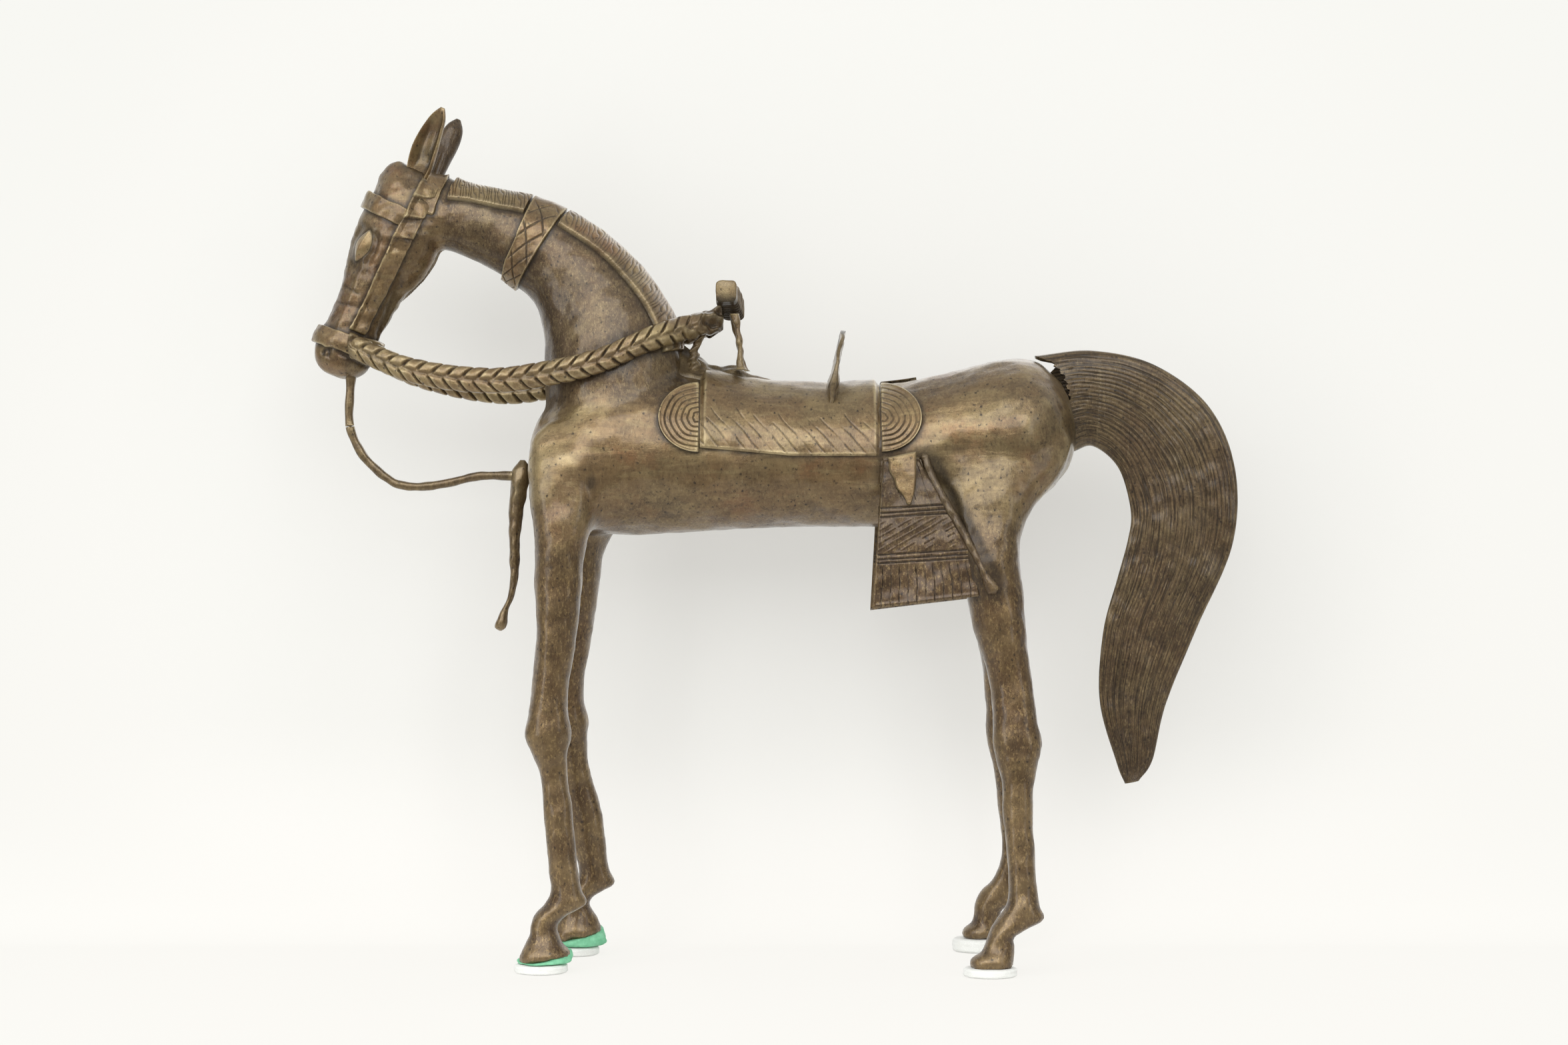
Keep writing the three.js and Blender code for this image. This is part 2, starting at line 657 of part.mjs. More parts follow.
// Tail: outer and inner edge in shares of its reach behind the rump and of its drop from the rump's middle.
const TAIL_EDGES = [
  [-0.25, 0.222, -0.01, -0.054],
  [0.11, 0.237, 0.117, -0.039],
  [0.5, 0.195, 0.273, -0.102],
  [0.838, 0.075, 0.348, -0.222],
  [1, -0.108, 0.331, -0.305],
  [0.981, -0.323, 0.26, -0.425],
  [0.773, -0.551, 0.175, -0.575],
  [0.565, -0.778, 0.156, -0.772],
  [0.448, -0.958, 0.266, -0.946],
  [0.36, -1.01, 0.32, -1],
];

function tailBody(inset, from, to, steps, points) {
  const edge = (x, z) => {
    return new THREE.CatmullRomCurve3(TAIL_EDGES.map((row) => {
      const rumpMiddle = BARREL_AXIS + RUMP_LIFT;
      return new THREE.Vector3(RUMP_X + row[x] * TAIL_REACH, 0, rumpMiddle + row[z] * TAIL_DROP);
    }));
  };
  const outer = edge(0, 1);
  const inner = edge(2, 3);
  const rings = [];
  for (let i = 0; i <= steps; i++) {
    const along = from + ((to - from) * i) / steps;
    const top = outer.getPoint(along);
    const bottom = inner.getPoint(along);
    const up = top.clone().sub(bottom);
    const half = up.length() / 2;
    const flare = Math.max(0, 1 - along / 0.26) ** 1.5;
    const thickness = THREE.MathUtils.lerp(TAIL_THICKNESS, TAIL_ROOT_THICKNESS, flare);
    const centre = top.add(bottom).multiplyScalar(0.5);
    rings.push(ellipseRing(centre, ACROSS, up.normalize(), thickness / 2 - inset, half - inset, points, 2.3));
  }
  return skin(rings);
}

// The root is a cup that fits the rump. Its left wall has torn away at the top, as if it had turned about
// its lowest point.
function tail(rump) {
  const lowest = new THREE.Vector3(RUMP_X, 0, BARREL_AXIS + RUMP_LIFT + TAIL_EDGES[0][3] * TAIL_DROP);
  const turned = new THREE.Matrix4().makeTranslation(lowest);
  turned.multiply(new THREE.Matrix4().makeRotationY(radians(TAIL_TEAR)));
  turned.multiply(new THREE.Matrix4().makeTranslation(lowest.clone().negate()));
  const tear = rump.transform(turned.elements).intersect(sideRegion(LEFT, 0));
  const depth = (TAIL_ROOT_HOLLOW / TAIL_REACH) * 0.5;
  const cup = tailBody(TAIL_ROOT_WALL, 0, 0.111 + depth, 3, 10);
  return cutBy(tailBody(0, 0, 1, 20, 12), cup, rump, tear);
}

// Saddle

function clothOutline() {
  return [
    [CLOTH_FRONT_X, BARREL_AXIS + CLOTH_EDGE_RISE],
    [SEAT_X, BARREL_AXIS],
    [CLOTH_REAR_X, BARREL_AXIS],
    [CLOTH_REAR_X, BARREL_AXIS + BARREL_HEIGHT],
    [CLOTH_FRONT_X, BARREL_AXIS + BARREL_HEIGHT],
  ];
}

// Half a disc, with its straight side against the cloth.
function roundelRegion(x, facing, side, rise) {
  const outline = [];
  const steps = 10;
  for (let i = 0; i <= steps; i++) {
    const angle = (i / steps) * Math.PI - Math.PI / 2;
    const ahead = CLEARANCE + ROUNDEL_LENGTH * Math.cos(angle);
    const up = (ROUNDEL_HEIGHT / 2) * Math.sin(angle);
    outline.push([x + facing * ahead, BARREL_AXIS + ROUNDEL_LIFT + rise + up]);
  }
  return side === LEFT ? slab(outline, -BEYOND, 0) : slab(outline, 0, BEYOND);
}

function rimRegion(grow) {
  const outline = [
    [RIM_FROM_X - grow, BARREL_AXIS],
    [RIM_FROM_X + RIM_LENGTH + grow, BARREL_AXIS],
    [RIM_FROM_X + RIM_LENGTH + grow, BARREL_AXIS + BARREL_HEIGHT],
    [RIM_FROM_X - grow, BARREL_AXIS + BARREL_HEIGHT],
  ];
  return slab(outline, -RIM_WIDTH / 2 - grow, RIM_WIDTH / 2 + grow);
}

// An upright arched plate that straddles the seat.
function cantle() {
  const foot = BARREL_AXIS + BARREL_HEIGHT / 4;
  const top = torsoTop(CANTLE_X) + CANTLE_HEIGHT - foot;
  const half = CANTLE_WIDTH / 2;
  const shoulder = top * 0.38;
  const bend = top * 0.845;
  const shape = new THREE.Shape();
  shape.moveTo(-half, 0);
  shape.lineTo(half, 0);
  shape.lineTo(half, shoulder);
  shape.bezierCurveTo(half, bend, half * 0.6, top, 0, top);
  shape.bezierCurveTo(-half * 0.6, top, -half, bend, -half, shoulder);
  const options = { depth: CANTLE_THICKNESS, bevelEnabled: false, curveSegments: 9 };
  const plate = new THREE.ExtrudeGeometry(shape, options);
  plate.rotateX(Math.PI / 2);
  plate.rotateZ(Math.PI / 2);
  plate.rotateY(radians(CANTLE_LEAN));
  plate.translate(CANTLE_X - CANTLE_THICKNESS, 0, foot);
  return solidOf(plate);
}

// A square bar across the withers, wound with a few turns, that the reins end on.
function reinBar() {
  const rings = [];
  const winds = 6;
  for (let i = 0; i <= 2 * winds; i++) {
    const share = i / (2 * winds) - 0.5;
    const wound = share > -0.2 && i % 2 === 1 ? 1.12 : 1;
    const half = (REIN_BAR_SIDE / 2) * wound * (Math.abs(share) === 0.5 ? 0.92 : 1);
    const centre = new THREE.Vector3(
      REIN_BAR_X + REIN_BAR_SKEW * (share + 0.5),
      share * REIN_BAR_LENGTH,
      BARREL_AXIS + REIN_BAR_LIFT - REIN_BAR_FALL * (share + 0.5),
    );
    rings.push(ellipseRing(centre, ALONG, UP, half, half, 12, 4));
  }
  return skin(rings);
}

function strut(side) {
  const footX = REIN_BAR_X + STRUT_FOOT_BEHIND;
  const foot = new THREE.Vector3(footX, side * (RIM_WIDTH / 2 - 5), torsoTop(footX));
  const headZ = BARREL_AXIS + REIN_BAR_LIFT - REIN_BAR_FALL;
  const head = new THREE.Vector3(REIN_BAR_X + STRUT_HEAD_BEHIND, (side * STRUT_SPREAD) / 2, headZ);
  return rod(new THREE.LineCurve3(foot, head), 5, 8, (along) => {
    const half = (STRUT_DIAMETER / 2) * (1 + 0.9 * (1 - along) ** 4);
    return [half, half];
  });
}

// The flap's own plane: x, height below its hem at the top, and distance out from the flank.
function flapPlate(outline, out, thickness, side) {
  const shape = new THREE.Shape(outline.map(([x, drop]) => new THREE.Vector2(x, -drop)));
  const plate = new THREE.ExtrudeGeometry(shape, { depth: thickness, bevelEnabled: false });
  plate.rotateX(Math.PI / 2);
  plate.translate(0, side === LEFT ? -out : out + thickness, 0);
  plate.rotateX(side * radians(FLAP_FLARE));
  const flank = torsoSide(FLAP_TOP_X + FLAP_TOP_WIDTH / 2, BARREL_AXIS) + CLEARANCE;
  plate.translate(0, side * flank, BARREL_AXIS - CLEARANCE);
  return solidOf(plate);
}

function flap(side) {
  const outline = [
    [FLAP_TOP_X, 0],
    [FLAP_BOTTOM_X, FLAP_DROP],
    [FLAP_BOTTOM_X + FLAP_BOTTOM_WIDTH * 0.33, FLAP_DROP - FLAP_HEM_RISE * 0.15],
    [FLAP_BOTTOM_X + FLAP_BOTTOM_WIDTH * 0.84, FLAP_DROP - FLAP_HEM_RISE * 0.5],
    [FLAP_BOTTOM_X + FLAP_BOTTOM_WIDTH, FLAP_DROP - FLAP_HEM_RISE],
    [FLAP_TOP_X + FLAP_TOP_WIDTH, 0],
  ];
  return flapPlate(outline, 0, FLAP_THICKNESS, side);
}

function flapTab(side) {
  const outline = [
    [FLAP_TOP_X + 0.5, 0.5],
    [FLAP_TOP_X + FLAP_TOP_WIDTH * 0.7, TAB_LENGTH],
    [FLAP_TOP_X + FLAP_TOP_WIDTH * 0.84, TAB_LENGTH * 0.4],
    [FLAP_TOP_X + FLAP_TOP_WIDTH * 0.84, 0.5],
  ];
  return flapPlate(outline, FLAP_THICKNESS + CLEARANCE, TAB_THICKNESS, side);
}

// A rod behind the flap's rear edge, from the flank down to the thigh.
function flapStay(side, leg) {
  const half = STAY_DIAMETER / 2;
  const topX = FLAP_TOP_X + FLAP_TOP_WIDTH + half + CLEARANCE;
  const flank = torsoSide(topX, BARREL_AXIS) + half;
  const endDrop = FLAP_DROP - 4;
  const legAt = leg.plan(BARREL_AXIS - endDrop - leg.pad - CLEARANCE);
  const endX = Math.max((legAt.front + legAt.back) / 2, FLAP_BOTTOM_X + FLAP_BOTTOM_WIDTH + 3 * half);
  const points = [
    new THREE.Vector3(topX, side * flank, BARREL_AXIS),
    new THREE.Vector3((topX + endX) / 2 + 2, side * (flank + 5), BARREL_AXIS - endDrop / 2),
    new THREE.Vector3(endX, side * (legAt.offset + legAt.halfWidth + half), BARREL_AXIS - endDrop),
  ];
  return rod(new THREE.CatmullRomCurve3(points), 8, 8, (along) => {
    const size = half * (1 + 0.5 * along ** 6);
    return [size, size];
  });
}

// Reins, lead and pendant

// Places of a rein: share of the way from noseband to bar, share of the sag, and distance from the middle.
const REIN_PLACES = [
  [0, 0, 13],
  [0.17, 0.65, 20.5],
  [0.37, 1, 26],
  [0.52, 0.98, 28.5],
  [0.67, 0.81, 0],
  [0.81, 0.4, 0],
  [0.9, 0.17, 14],
  [1, 0, 3.5],
];

function reinCurve(side) {
  const start = onHead(NOSEBAND_AT, 0);
  const underBar = BARREL_AXIS + REIN_BAR_LIFT - (REIN_BAR_SIDE + REIN_HEIGHT) / 2;
  const end = new THREE.Vector3(REIN_BAR_X - STRUT_DIAMETER / 2, 0, underBar);
  return new THREE.CatmullRomCurve3(REIN_PLACES.map(([share, sag, out]) => {
    const point = start.clone().lerp(end, share);
    point.z -= sag * REIN_SAG;
    const beside = neckSide(point.x, point.z) + REIN_THICKNESS / 2 + CLEARANCE;
    return point.setY(side * (out || beside));
  }));
}

// A two-row plait: each ring of points is swept back from the seam like an arrowhead, and rings of lobes and
// grooves follow each other along the rein.
function rein(side) {
  const curve = reinCurve(side);
  const length = curve.getLength();
  const sweep = REIN_HEIGHT * 0.5;
  const pitch = (length - sweep) / REIN_LOBES;
  const profile = [
    [0.0, 0.8],
    [0.3, 1],
    [0.75, 0.98],
  ];
  const points = 8;
  const ringAt = (at, size, swept) => {
    const ring = [];
    for (let i = 0; i < points; i++) {
      const angle = (i / points) * 2 * Math.PI;
      const up = Math.sin(angle);
      const along = (at + swept * Math.abs(up)) / length;
      const tangent = curve.getTangentAt(along);
      const out = new THREE.Vector3(-tangent.y, tangent.x, 0).normalize().multiplyScalar(side);
      const seam = 1 - 0.2 * Math.max(0, 1 - Math.abs(up) / 0.5);
      const point = curve.getPointAt(along);
      point.addScaledVector(out, (REIN_THICKNESS / 2) * size * seam * Math.cos(angle));
      point.z += (REIN_HEIGHT / 2) * size * up;
      ring.push(point);
    }
    return ring;
  };
  const rings = [ringAt(0, 0.7, 0)];
  for (let lobe = 0; lobe < REIN_LOBES; lobe++) {
    for (const [share, size] of profile) {
      if (lobe === 0 && share === 0) continue;
      rings.push(ringAt((lobe + share) * pitch, size, sweep));
    }
  }
  rings.push(ringAt(length, 0.7, 0));
  return skin(rings);
}

// Pendant: rows of share of its drop, distance ahead of the chest, half depth and half width.
const pendantLine = smoothRows([
  [0, 3, 0.3, 0.25],
  [0.06, 3.8, 0.95, 0.95],
  [0.16, 4.7, 1, 1],
  [0.3, 6, 0.82, 0.85],
  [0.5, 7, 0.6, 0.7],
  [0.68, 7, 0.48, 0.6],
  [0.78, 8.2, 0.38, 0.5],
  [0.86, 10.8, 0.36, 0.45],
  [0.92, 12.8, 0.55, 0.55],
  [0.97, 13.6, 0.5, 0.5],
  [1, 13.9, 0.18, 0.2],
]);

function pendantBody(grow) {
  const rings = [];
  const steps = 15;
  const top = BARREL_AXIS - 1;
  for (let i = 0; i <= steps; i++) {
    const share = i / steps;
    const [ahead, deep, wide] = pendantLine(share);
    const outward = i === 0 ? grow : 0;
    const centre = new THREE.Vector3(CHEST_X - ahead, 0, top - share * PENDANT_DROP + outward);
    const half = PENDANT_WIDTH / 2;
    rings.push(ellipseRing(centre, ACROSS, ALONG, wide * half + grow, deep * half + grow, 10));
  }
  return skin(rings);
}

// Places of the lead: share of the way from chin to pendant, and how far it bows ahead and below that line.
const LEAD_PLACES = [
  [0, 0, 0],
  [0.06, -5.1, -9.6],
  [0.12, -9.9, -16],
  [0.2, -14.6, -20.3],
  [0.3, -17.4, -25],
  [0.38, -18.3, -26.9],
  [0.46, -18.1, -28.4],
  [0.54, -18.1, -27.6],
  [0.64, -16.1, -23.5],
  [0.78, -14.1, -14.7],
  [0.9, -8.6, -5.2],
  [1, 0, 0],
];

function leadRein() {
  const chin = onHead(HEAD_LENGTH - 4, HEAD_DEPTH * 0.1);
  const knot = new THREE.Vector3(CHEST_X - 7, 0, BARREL_AXIS - 8.6);
  const curve = new THREE.CatmullRomCurve3(LEAD_PLACES.map(([share, ahead, below]) => {
    return chin.clone().lerp(knot, share).add(new THREE.Vector3(ahead, 0, below));
  }));
  return rod(curve, 22, 6, () => [LEAD_WIDTH / 2, LEAD_THICKNESS / 2]);
}

// Everything ahead of (-1) or behind (1) an upright plane across the horse.
function endRegion(x, facing) {
  const far = facing * 2 * (TAIL_REACH - CHEST_X + NECK_REACH + HEAD_LENGTH);
  return slab([[x, 0], [x + far, 0], [x + far, Math.abs(far)], [x, Math.abs(far)]], -BEYOND, BEYOND);
}

// Materials

const bronze = (color, roughness = 0.42) => {
  return () => new THREE.MeshStandardMaterial({ color, roughness, metalness: 0.9 });
};
const bodyBronze = bronze(0x7d6a45);
const legBronze = bronze(0x6b5a3c, 0.48);
const trimBronze = bronze(0x8a7448, 0.4);
const felt = () => new THREE.MeshStandardMaterial({ color: 0xf1efe8, roughness: 0.95, metalness: 0 });
const greenPutty = () => new THREE.MeshStandardMaterial({ color: 0x6fc79a, roughness: 0.8, metalness: 0 });

// Assembly

function addPiece(group, name, solid, material) {
  const mesh = solid.getMesh();
  const geometry = new THREE.BufferGeometry();
  geometry.setAttribute("position", new THREE.BufferAttribute(new Float32Array(mesh.vertProperties), 3));
  geometry.setIndex(new THREE.BufferAttribute(new Uint32Array(mesh.triVerts), 1));
  geometry.computeVertexNormals();
  const piece = new THREE.Mesh(geometry, material());
  piece.name = name;
  group.add(piece);
}

const horse = new THREE.Group();
const body = new THREE.Group();
const bridle = new THREE.Group();
const saddle = new THREE.Group();
const stand = new THREE.Group();
horse.add(body, bridle, saddle, stand);

const torsoRoom = torsoBody(CLEARANCE);
const headRoom = headBody(CLEARANCE);
const torsoBore = torsoBody(-CASTING_WALL, 12, 4, [0.96, 0.75, 0.4]);
const neckBore = neckBody(-CASTING_WALL, 0.3, 6, 10);
const neckRoom = neckBody(CLEARANCE);

addPiece(body, "torso", torsoBody(0).subtract(torsoBore).subtract(neckBore), bodyBronze);
addPiece(body, "neck", cutBy(neckBody(0), torsoRoom, headRoom, neckBore), bodyBronze);
addPiece(body, "head", headBody(0), bodyBronze);
for (const leg of [...forelegs, ...hindLegs]) {
  addPiece(body, leg.name, cutBy(legBody(leg.plan, leg.rows, leg.side, 0), torsoRoom), legBronze);
}
addPiece(body, "tail", tail(torsoRoom), bodyBronze);
for (const side of [LEFT, RIGHT]) {
  addPiece(body, sideName("ear", side), cutBy(ear(side), headRoom, neckRoom), bodyBronze);
  addPiece(body, sideName("eye", side), cutBy(eye(side), headRoom), bodyBronze);
}

// The collar parts the mane, and both stop short of the bridle.
const collarRegion = neckBandRegion(COLLAR_AT, COLLAR_WIDTH);
const collarRoom = neckBandRegion(COLLAR_AT, COLLAR_WIDTH + 2 * CLEARANCE);
const bridleRoom = headBody(TRIM_THICKNESS + 2 * CLEARANCE);
const maneUpper = overlay(neckBody, MANE_THICKNESS, crestRegion(MANE_FROM, COLLAR_AT));
const maneLower = overlay(neckBody, MANE_THICKNESS, crestRegion(COLLAR_AT, MANE_TO));
addPiece(body, "mane_upper", cutBy(maneUpper, collarRoom, bridleRoom), bodyBronze);
addPiece(body, "mane_lower", cutBy(maneLower, collarRoom, torsoRoom), bodyBronze);
addPiece(bridle, "neck_collar", largest(overlay(neckBody, COLLAR_THICKNESS, collarRegion)), trimBronze);

const earRooms = [LEFT, RIGHT].map((side) => ear(side, CLEARANCE));

// Bridle straps: the cheek straps run down both sides, and the browband ends against them.
const halfStrap = STRAP_WIDTH / 2;
const nosebandTop = NOSEBAND_AT - NOSEBAND_WIDTH / 2;
const cheekOutline = (grow) => [
  [CHEEK_STRAP_FROM - grow, CHEEK_STRAP_BACK - halfStrap - grow],
  [CHEEK_STRAP_FROM - grow, CHEEK_STRAP_BACK + halfStrap + grow],
  [nosebandTop - CLEARANCE + grow, halfStrap * 0.8 - CHEEK_STRAP_AHEAD + grow],
  [nosebandTop - CLEARANCE + grow, -halfStrap * 0.8 - CHEEK_STRAP_AHEAD - grow],
];
for (const side of [LEFT, RIGHT]) {
  const reach = side === LEFT ? [-BEYOND, -CLEARANCE] : [CLEARANCE, BEYOND];
  const strap = overlay(headBody, TRIM_THICKNESS, headRegion(cheekOutline(0), ...reach));
  addPiece(bridle, sideName("cheek_strap", side), cutBy(strap, neckRoom, ...earRooms), trimBronze);
}
const browOutline = [
  [BROWBAND_AT - halfStrap, -HEAD_DEPTH],
  [BROWBAND_AT - halfStrap, BROWBAND_BACK],
  [BROWBAND_AT + halfStrap, BROWBAND_BACK],
  [BROWBAND_AT + halfStrap, -HEAD_DEPTH],
];
const brow = overlay(headBody, TRIM_THICKNESS, headRegion(browOutline));
addPiece(bridle, "browband", cutBy(brow, headRegion(cheekOutline(CLEARANCE))), trimBronze);
const noseOutline = [
  [nosebandTop, -HEAD_DEPTH],
  [nosebandTop, HEAD_DEPTH],
  [nosebandTop + NOSEBAND_WIDTH, HEAD_DEPTH],
  [nosebandTop + NOSEBAND_WIDTH, -HEAD_DEPTH],
];
addPiece(bridle, "noseband", largest(overlay(headBody, TRIM_THICKNESS, headRegion(noseOutline))), trimBronze);
const crownStrapFrom = CHEEK_STRAP_BACK + halfStrap + CLEARANCE;
const crownStrapEnd = CHEEK_STRAP_FROM + halfStrap;
const crownOutline = [
  [-HEAD_LENGTH / 4, crownStrapFrom],
  [-HEAD_LENGTH / 4, crownStrapFrom + CROWN_STRAP_WIDTH],
  [crownStrapEnd, crownStrapFrom + CROWN_STRAP_WIDTH],
  [crownStrapEnd, crownStrapFrom],
];
const crownBand = overlay(headBody, TRIM_THICKNESS, headRegion(crownOutline));
addPiece(bridle, "crown_strap", cutBy(crownBand, neckRoom, ...earRooms), trimBronze);

// Saddle on the barrel: the rim is let into the cloth, and roundels and flaps hang at its edges.
const rim = overlay(torsoBody, RIM_THICKNESS, rimRegion(0));
const cloth = overlay(torsoBody, CLOTH_THICKNESS, slab(clothOutline(), -BEYOND, BEYOND));
const clothRoom = torsoBody(2 * CLEARANCE + CLOTH_THICKNESS);
addPiece(saddle, "saddle_cloth", cutBy(cloth, rimRegion(CLEARANCE), neckRoom), trimBronze);
addPiece(saddle, "pommel_rim", cutBy(rim, neckRoom), trimBronze);
for (const side of [LEFT, RIGHT]) {
  const front = overlay(torsoBody, ROUNDEL_THICKNESS, roundelRegion(CLOTH_FRONT_X, -1, side, 0));
  const rise = side === LEFT ? 0 : ROUNDEL_RISE;
  const rear = overlay(torsoBody, ROUNDEL_THICKNESS, roundelRegion(CLOTH_REAR_X, 1, side, rise));
  addPiece(saddle, sideName("roundel_front", side), cutBy(front, neckRoom, rimRegion(CLEARANCE)), trimBronze);
  addPiece(saddle, sideName("roundel_rear", side), largest(rear), trimBronze);
}
addPiece(saddle, "cantle", cutBy(cantle(), clothRoom), trimBronze);

const rimRoom = torsoBody(RIM_THICKNESS + 2 * CLEARANCE);
const maneRoom = neckBody(MANE_THICKNESS + 2 * CLEARANCE);
const reins = [LEFT, RIGHT].map((side) => {
  const otherSide = sideRegion(-side, -CLEARANCE / 2);
  return cutBy(rein(side), bridleRoom, neckRoom, rimRoom, maneRoom, otherSide);
});
addPiece(bridle, "rein_left", reins[0], trimBronze);
addPiece(bridle, "rein_right", reins[1], trimBronze);
addPiece(saddle, "rein_bar", cutBy(reinBar(), ...reins), trimBronze);
for (const side of [LEFT, RIGHT]) {
  const post = cutBy(strut(side), rimRoom, reinBar(), ...reins);
  addPiece(saddle, sideName("rein_bar_strut", side), post, trimBronze);
}
for (const side of [LEFT, RIGHT]) {
  const leg = hindLegs.find((hind) => hind.side === side);
  const legRoom = legBody(leg.plan, leg.rows, side, CLEARANCE);
  const panel = cutBy(flap(side), torsoRoom, legRoom);
  addPiece(saddle, sideName("flap", side), panel, trimBronze);
  addPiece(saddle, sideName("flap_tab", side), flapTab(side), trimBronze);
  const stay = cutBy(flapStay(side, leg), torsoRoom, legRoom, panel);
  addPiece(saddle, sideName("flap_stay", side), stay, trimBronze);
}
addPiece(bridle, "chest_pendant", cutBy(pendantBody(0), torsoRoom), trimBronze);
const lead = cutBy(leadRein(), headRoom, pendantBody(CLEARANCE));
const leadDrop = lead.intersect(endRegion(LEAD_SPLIT_X - CLEARANCE / 2, -1));
const leadRun = lead.intersect(endRegion(LEAD_SPLIT_X + CLEARANCE / 2, 1));
addPiece(bridle, "lead_rein_drop", largest(leadDrop), trimBronze);
addPiece(bridle, "lead_rein_run", largest(leadRun), trimBronze);

for (const leg of [...forelegs, ...hindLegs]) {
  addPiece(stand, `foot_pad_${leg.name}`, footPad(leg), felt);
  if (leg.putty > 0) addPiece(stand, `putty_${leg.name}`, putty(leg), greenPutty);
}

// The origin is the middle of the base.
const box = new THREE.Box3().setFromObject(horse);
horse.position.set(-(box.min.x + box.max.x) / 2, -(box.min.y + box.max.y) / 2, -box.min.z);

const part = new THREE.Group();
part.add(horse);
export default part;
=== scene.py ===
import math

import bmesh
import bpy
import numpy as np
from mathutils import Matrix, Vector
from mathutils.bvhtree import BVHTree
from mathutils.kdtree import KDTree


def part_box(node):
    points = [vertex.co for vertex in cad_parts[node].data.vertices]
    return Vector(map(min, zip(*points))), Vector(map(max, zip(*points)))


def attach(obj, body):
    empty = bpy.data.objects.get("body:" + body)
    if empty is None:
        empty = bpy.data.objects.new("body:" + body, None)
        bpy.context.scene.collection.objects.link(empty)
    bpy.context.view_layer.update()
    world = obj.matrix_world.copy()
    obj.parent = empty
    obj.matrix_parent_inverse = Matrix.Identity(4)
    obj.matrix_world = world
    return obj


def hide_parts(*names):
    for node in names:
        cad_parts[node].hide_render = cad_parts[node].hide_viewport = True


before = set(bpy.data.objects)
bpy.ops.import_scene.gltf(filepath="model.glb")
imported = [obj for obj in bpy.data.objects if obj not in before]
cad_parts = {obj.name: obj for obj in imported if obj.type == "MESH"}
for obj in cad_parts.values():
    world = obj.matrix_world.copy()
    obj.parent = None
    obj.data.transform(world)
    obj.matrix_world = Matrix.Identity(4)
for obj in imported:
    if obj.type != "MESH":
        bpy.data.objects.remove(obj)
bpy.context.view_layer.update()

# The horse faces -X with its left side at -Y, and stands on height 0. Sizes and tables are in millimetres.
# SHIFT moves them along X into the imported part's frame when a mesh is made, in metres.
MM = 0.001
CHEST_X = -118.5
CHEST_ROUND = 38
RUMP_X = 143.5
RUMP_ROUND = 29
BARREL_AXIS = 242.5
SHIFT = np.array([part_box("torso")[0][0] - CHEST_X * MM, 0.0, 0.0])
LEFT = -1
RIGHT = 1
SIDE_WORD = {LEFT: "left", RIGHT: "right"}
ALONG = np.array([1.0, 0, 0])
ACROSS = np.array([0.0, 1, 0])
UPWARD = np.array([0.0, 0, 1])


# Shapes


def smooth_rows(rows):
    """A smooth line through rows of numbers: each row's first number is its place, the rest are values."""
    table = np.array(rows, float)
    places = table[:, 0]
    values = table[:, 1:]
    slopes = np.gradient(values, places, axis=0)

    def line(place):
        place = np.clip(np.asarray(place, float), places[0], places[-1])
        i = np.clip(np.searchsorted(places, place) - 1, 0, len(places) - 2)
        step = (places[i + 1] - places[i])[..., None]
        t = ((place - places[i]) / (places[i + 1] - places[i]))[..., None]
        rise = values[i + 1] - values[i]
        near = values[i] + t * t * (3 - 2 * t) * rise
        bend = (t * (1 - t) ** 2 * slopes[i] - t * t * (1 - t) * slopes[i + 1]) * step
        return np.moveaxis(near + bend, -1, 0)

    return line


def unit(vectors):
    return vectors / np.maximum(np.linalg.norm(vectors, axis=-1, keepdims=True), 1e-9)


def lumps(points, size, seed):
    """Uneven hand-worked swelling between -1 and 1, with hills about the given size in millimetres."""
    chance = np.random.default_rng(seed)
    total = np.zeros(points.shape[:-1])
    waves = 9
    for _ in range(waves):
        way = unit(chance.normal(size=3)) * chance.uniform(0.7, 1.5) * 2 * math.pi / (2 * size)
        total += np.sin(points @ way + chance.uniform(0, 2 * math.pi))
    return total / math.sqrt(waves) / 1.4


def line_groove(place, pitch, width):
    """1 in the middle of each line of a row of lines, falling to 0 at half the width."""
    off = np.abs((place / pitch + 0.5) % 1.0 - 0.5) * pitch
    return np.clip(1 - off / (width / 2), 0, 1)


def between(value, low, high, soft):
    """1 inside a range and 0 outside, with soft ends."""
    up = np.clip((value - low) / soft + 0.5, 0, 1)
    down = np.clip((high - value) / soft + 0.5, 0, 1)
    return up * down


def bell(value, width):
    """1 where the value is 0, falling off to both sides over the width."""
    return np.exp(-((value / width) ** 2))


def full_turn(points):
    """Angles once round, the last the same as the first."""
    angle = np.linspace(0, 2 * math.pi, points + 1)
    angle[-1] = 0
    return angle


def share_grid(rows, columns):
    """Shares from 0 to 1 along the rows and the columns of a table."""
    return np.meshgrid(np.linspace(0, 1, rows), np.linspace(0, 1, columns), indexing="ij")


def capped(table, centre):
    """A table of rings with a point added at each end, to close it."""
    columns = table.shape[1]
    first = np.repeat(centre[:1, None, :], columns, axis=1)
    last = np.repeat(centre[-1:, None, :], columns, axis=1)
    return np.concatenate([first, table, last])


def roughen(table, way, *layers):
    """Moves points one way by layers of lumps, each given by its height, size and seed."""
    rise = sum(height * lumps(table, size, seed) for height, size, seed in layers)
    return table + np.array(way) * rise[..., None]


def tucked(lift, raised, depth):
    """The lift of a strip whose border goes down into the surface by a depth."""
    return raised * lift - depth * (1 - raised)


def edge_dirt_and_shade(raised):
    """Dirt and painted shade along the border of a strip, where it turns down."""
    return (raised < 0.75) * 0.95


def new_piece(name, bm):
    """An object at the origin that holds a finished bmesh."""
    mesh = bpy.data.meshes.new(name)
    bm.to_mesh(mesh)
    bm.free()
    mesh.shade_smooth()
    piece = bpy.data.objects.new(name, mesh)
    bpy.context.scene.collection.objects.link(piece)
    return piece


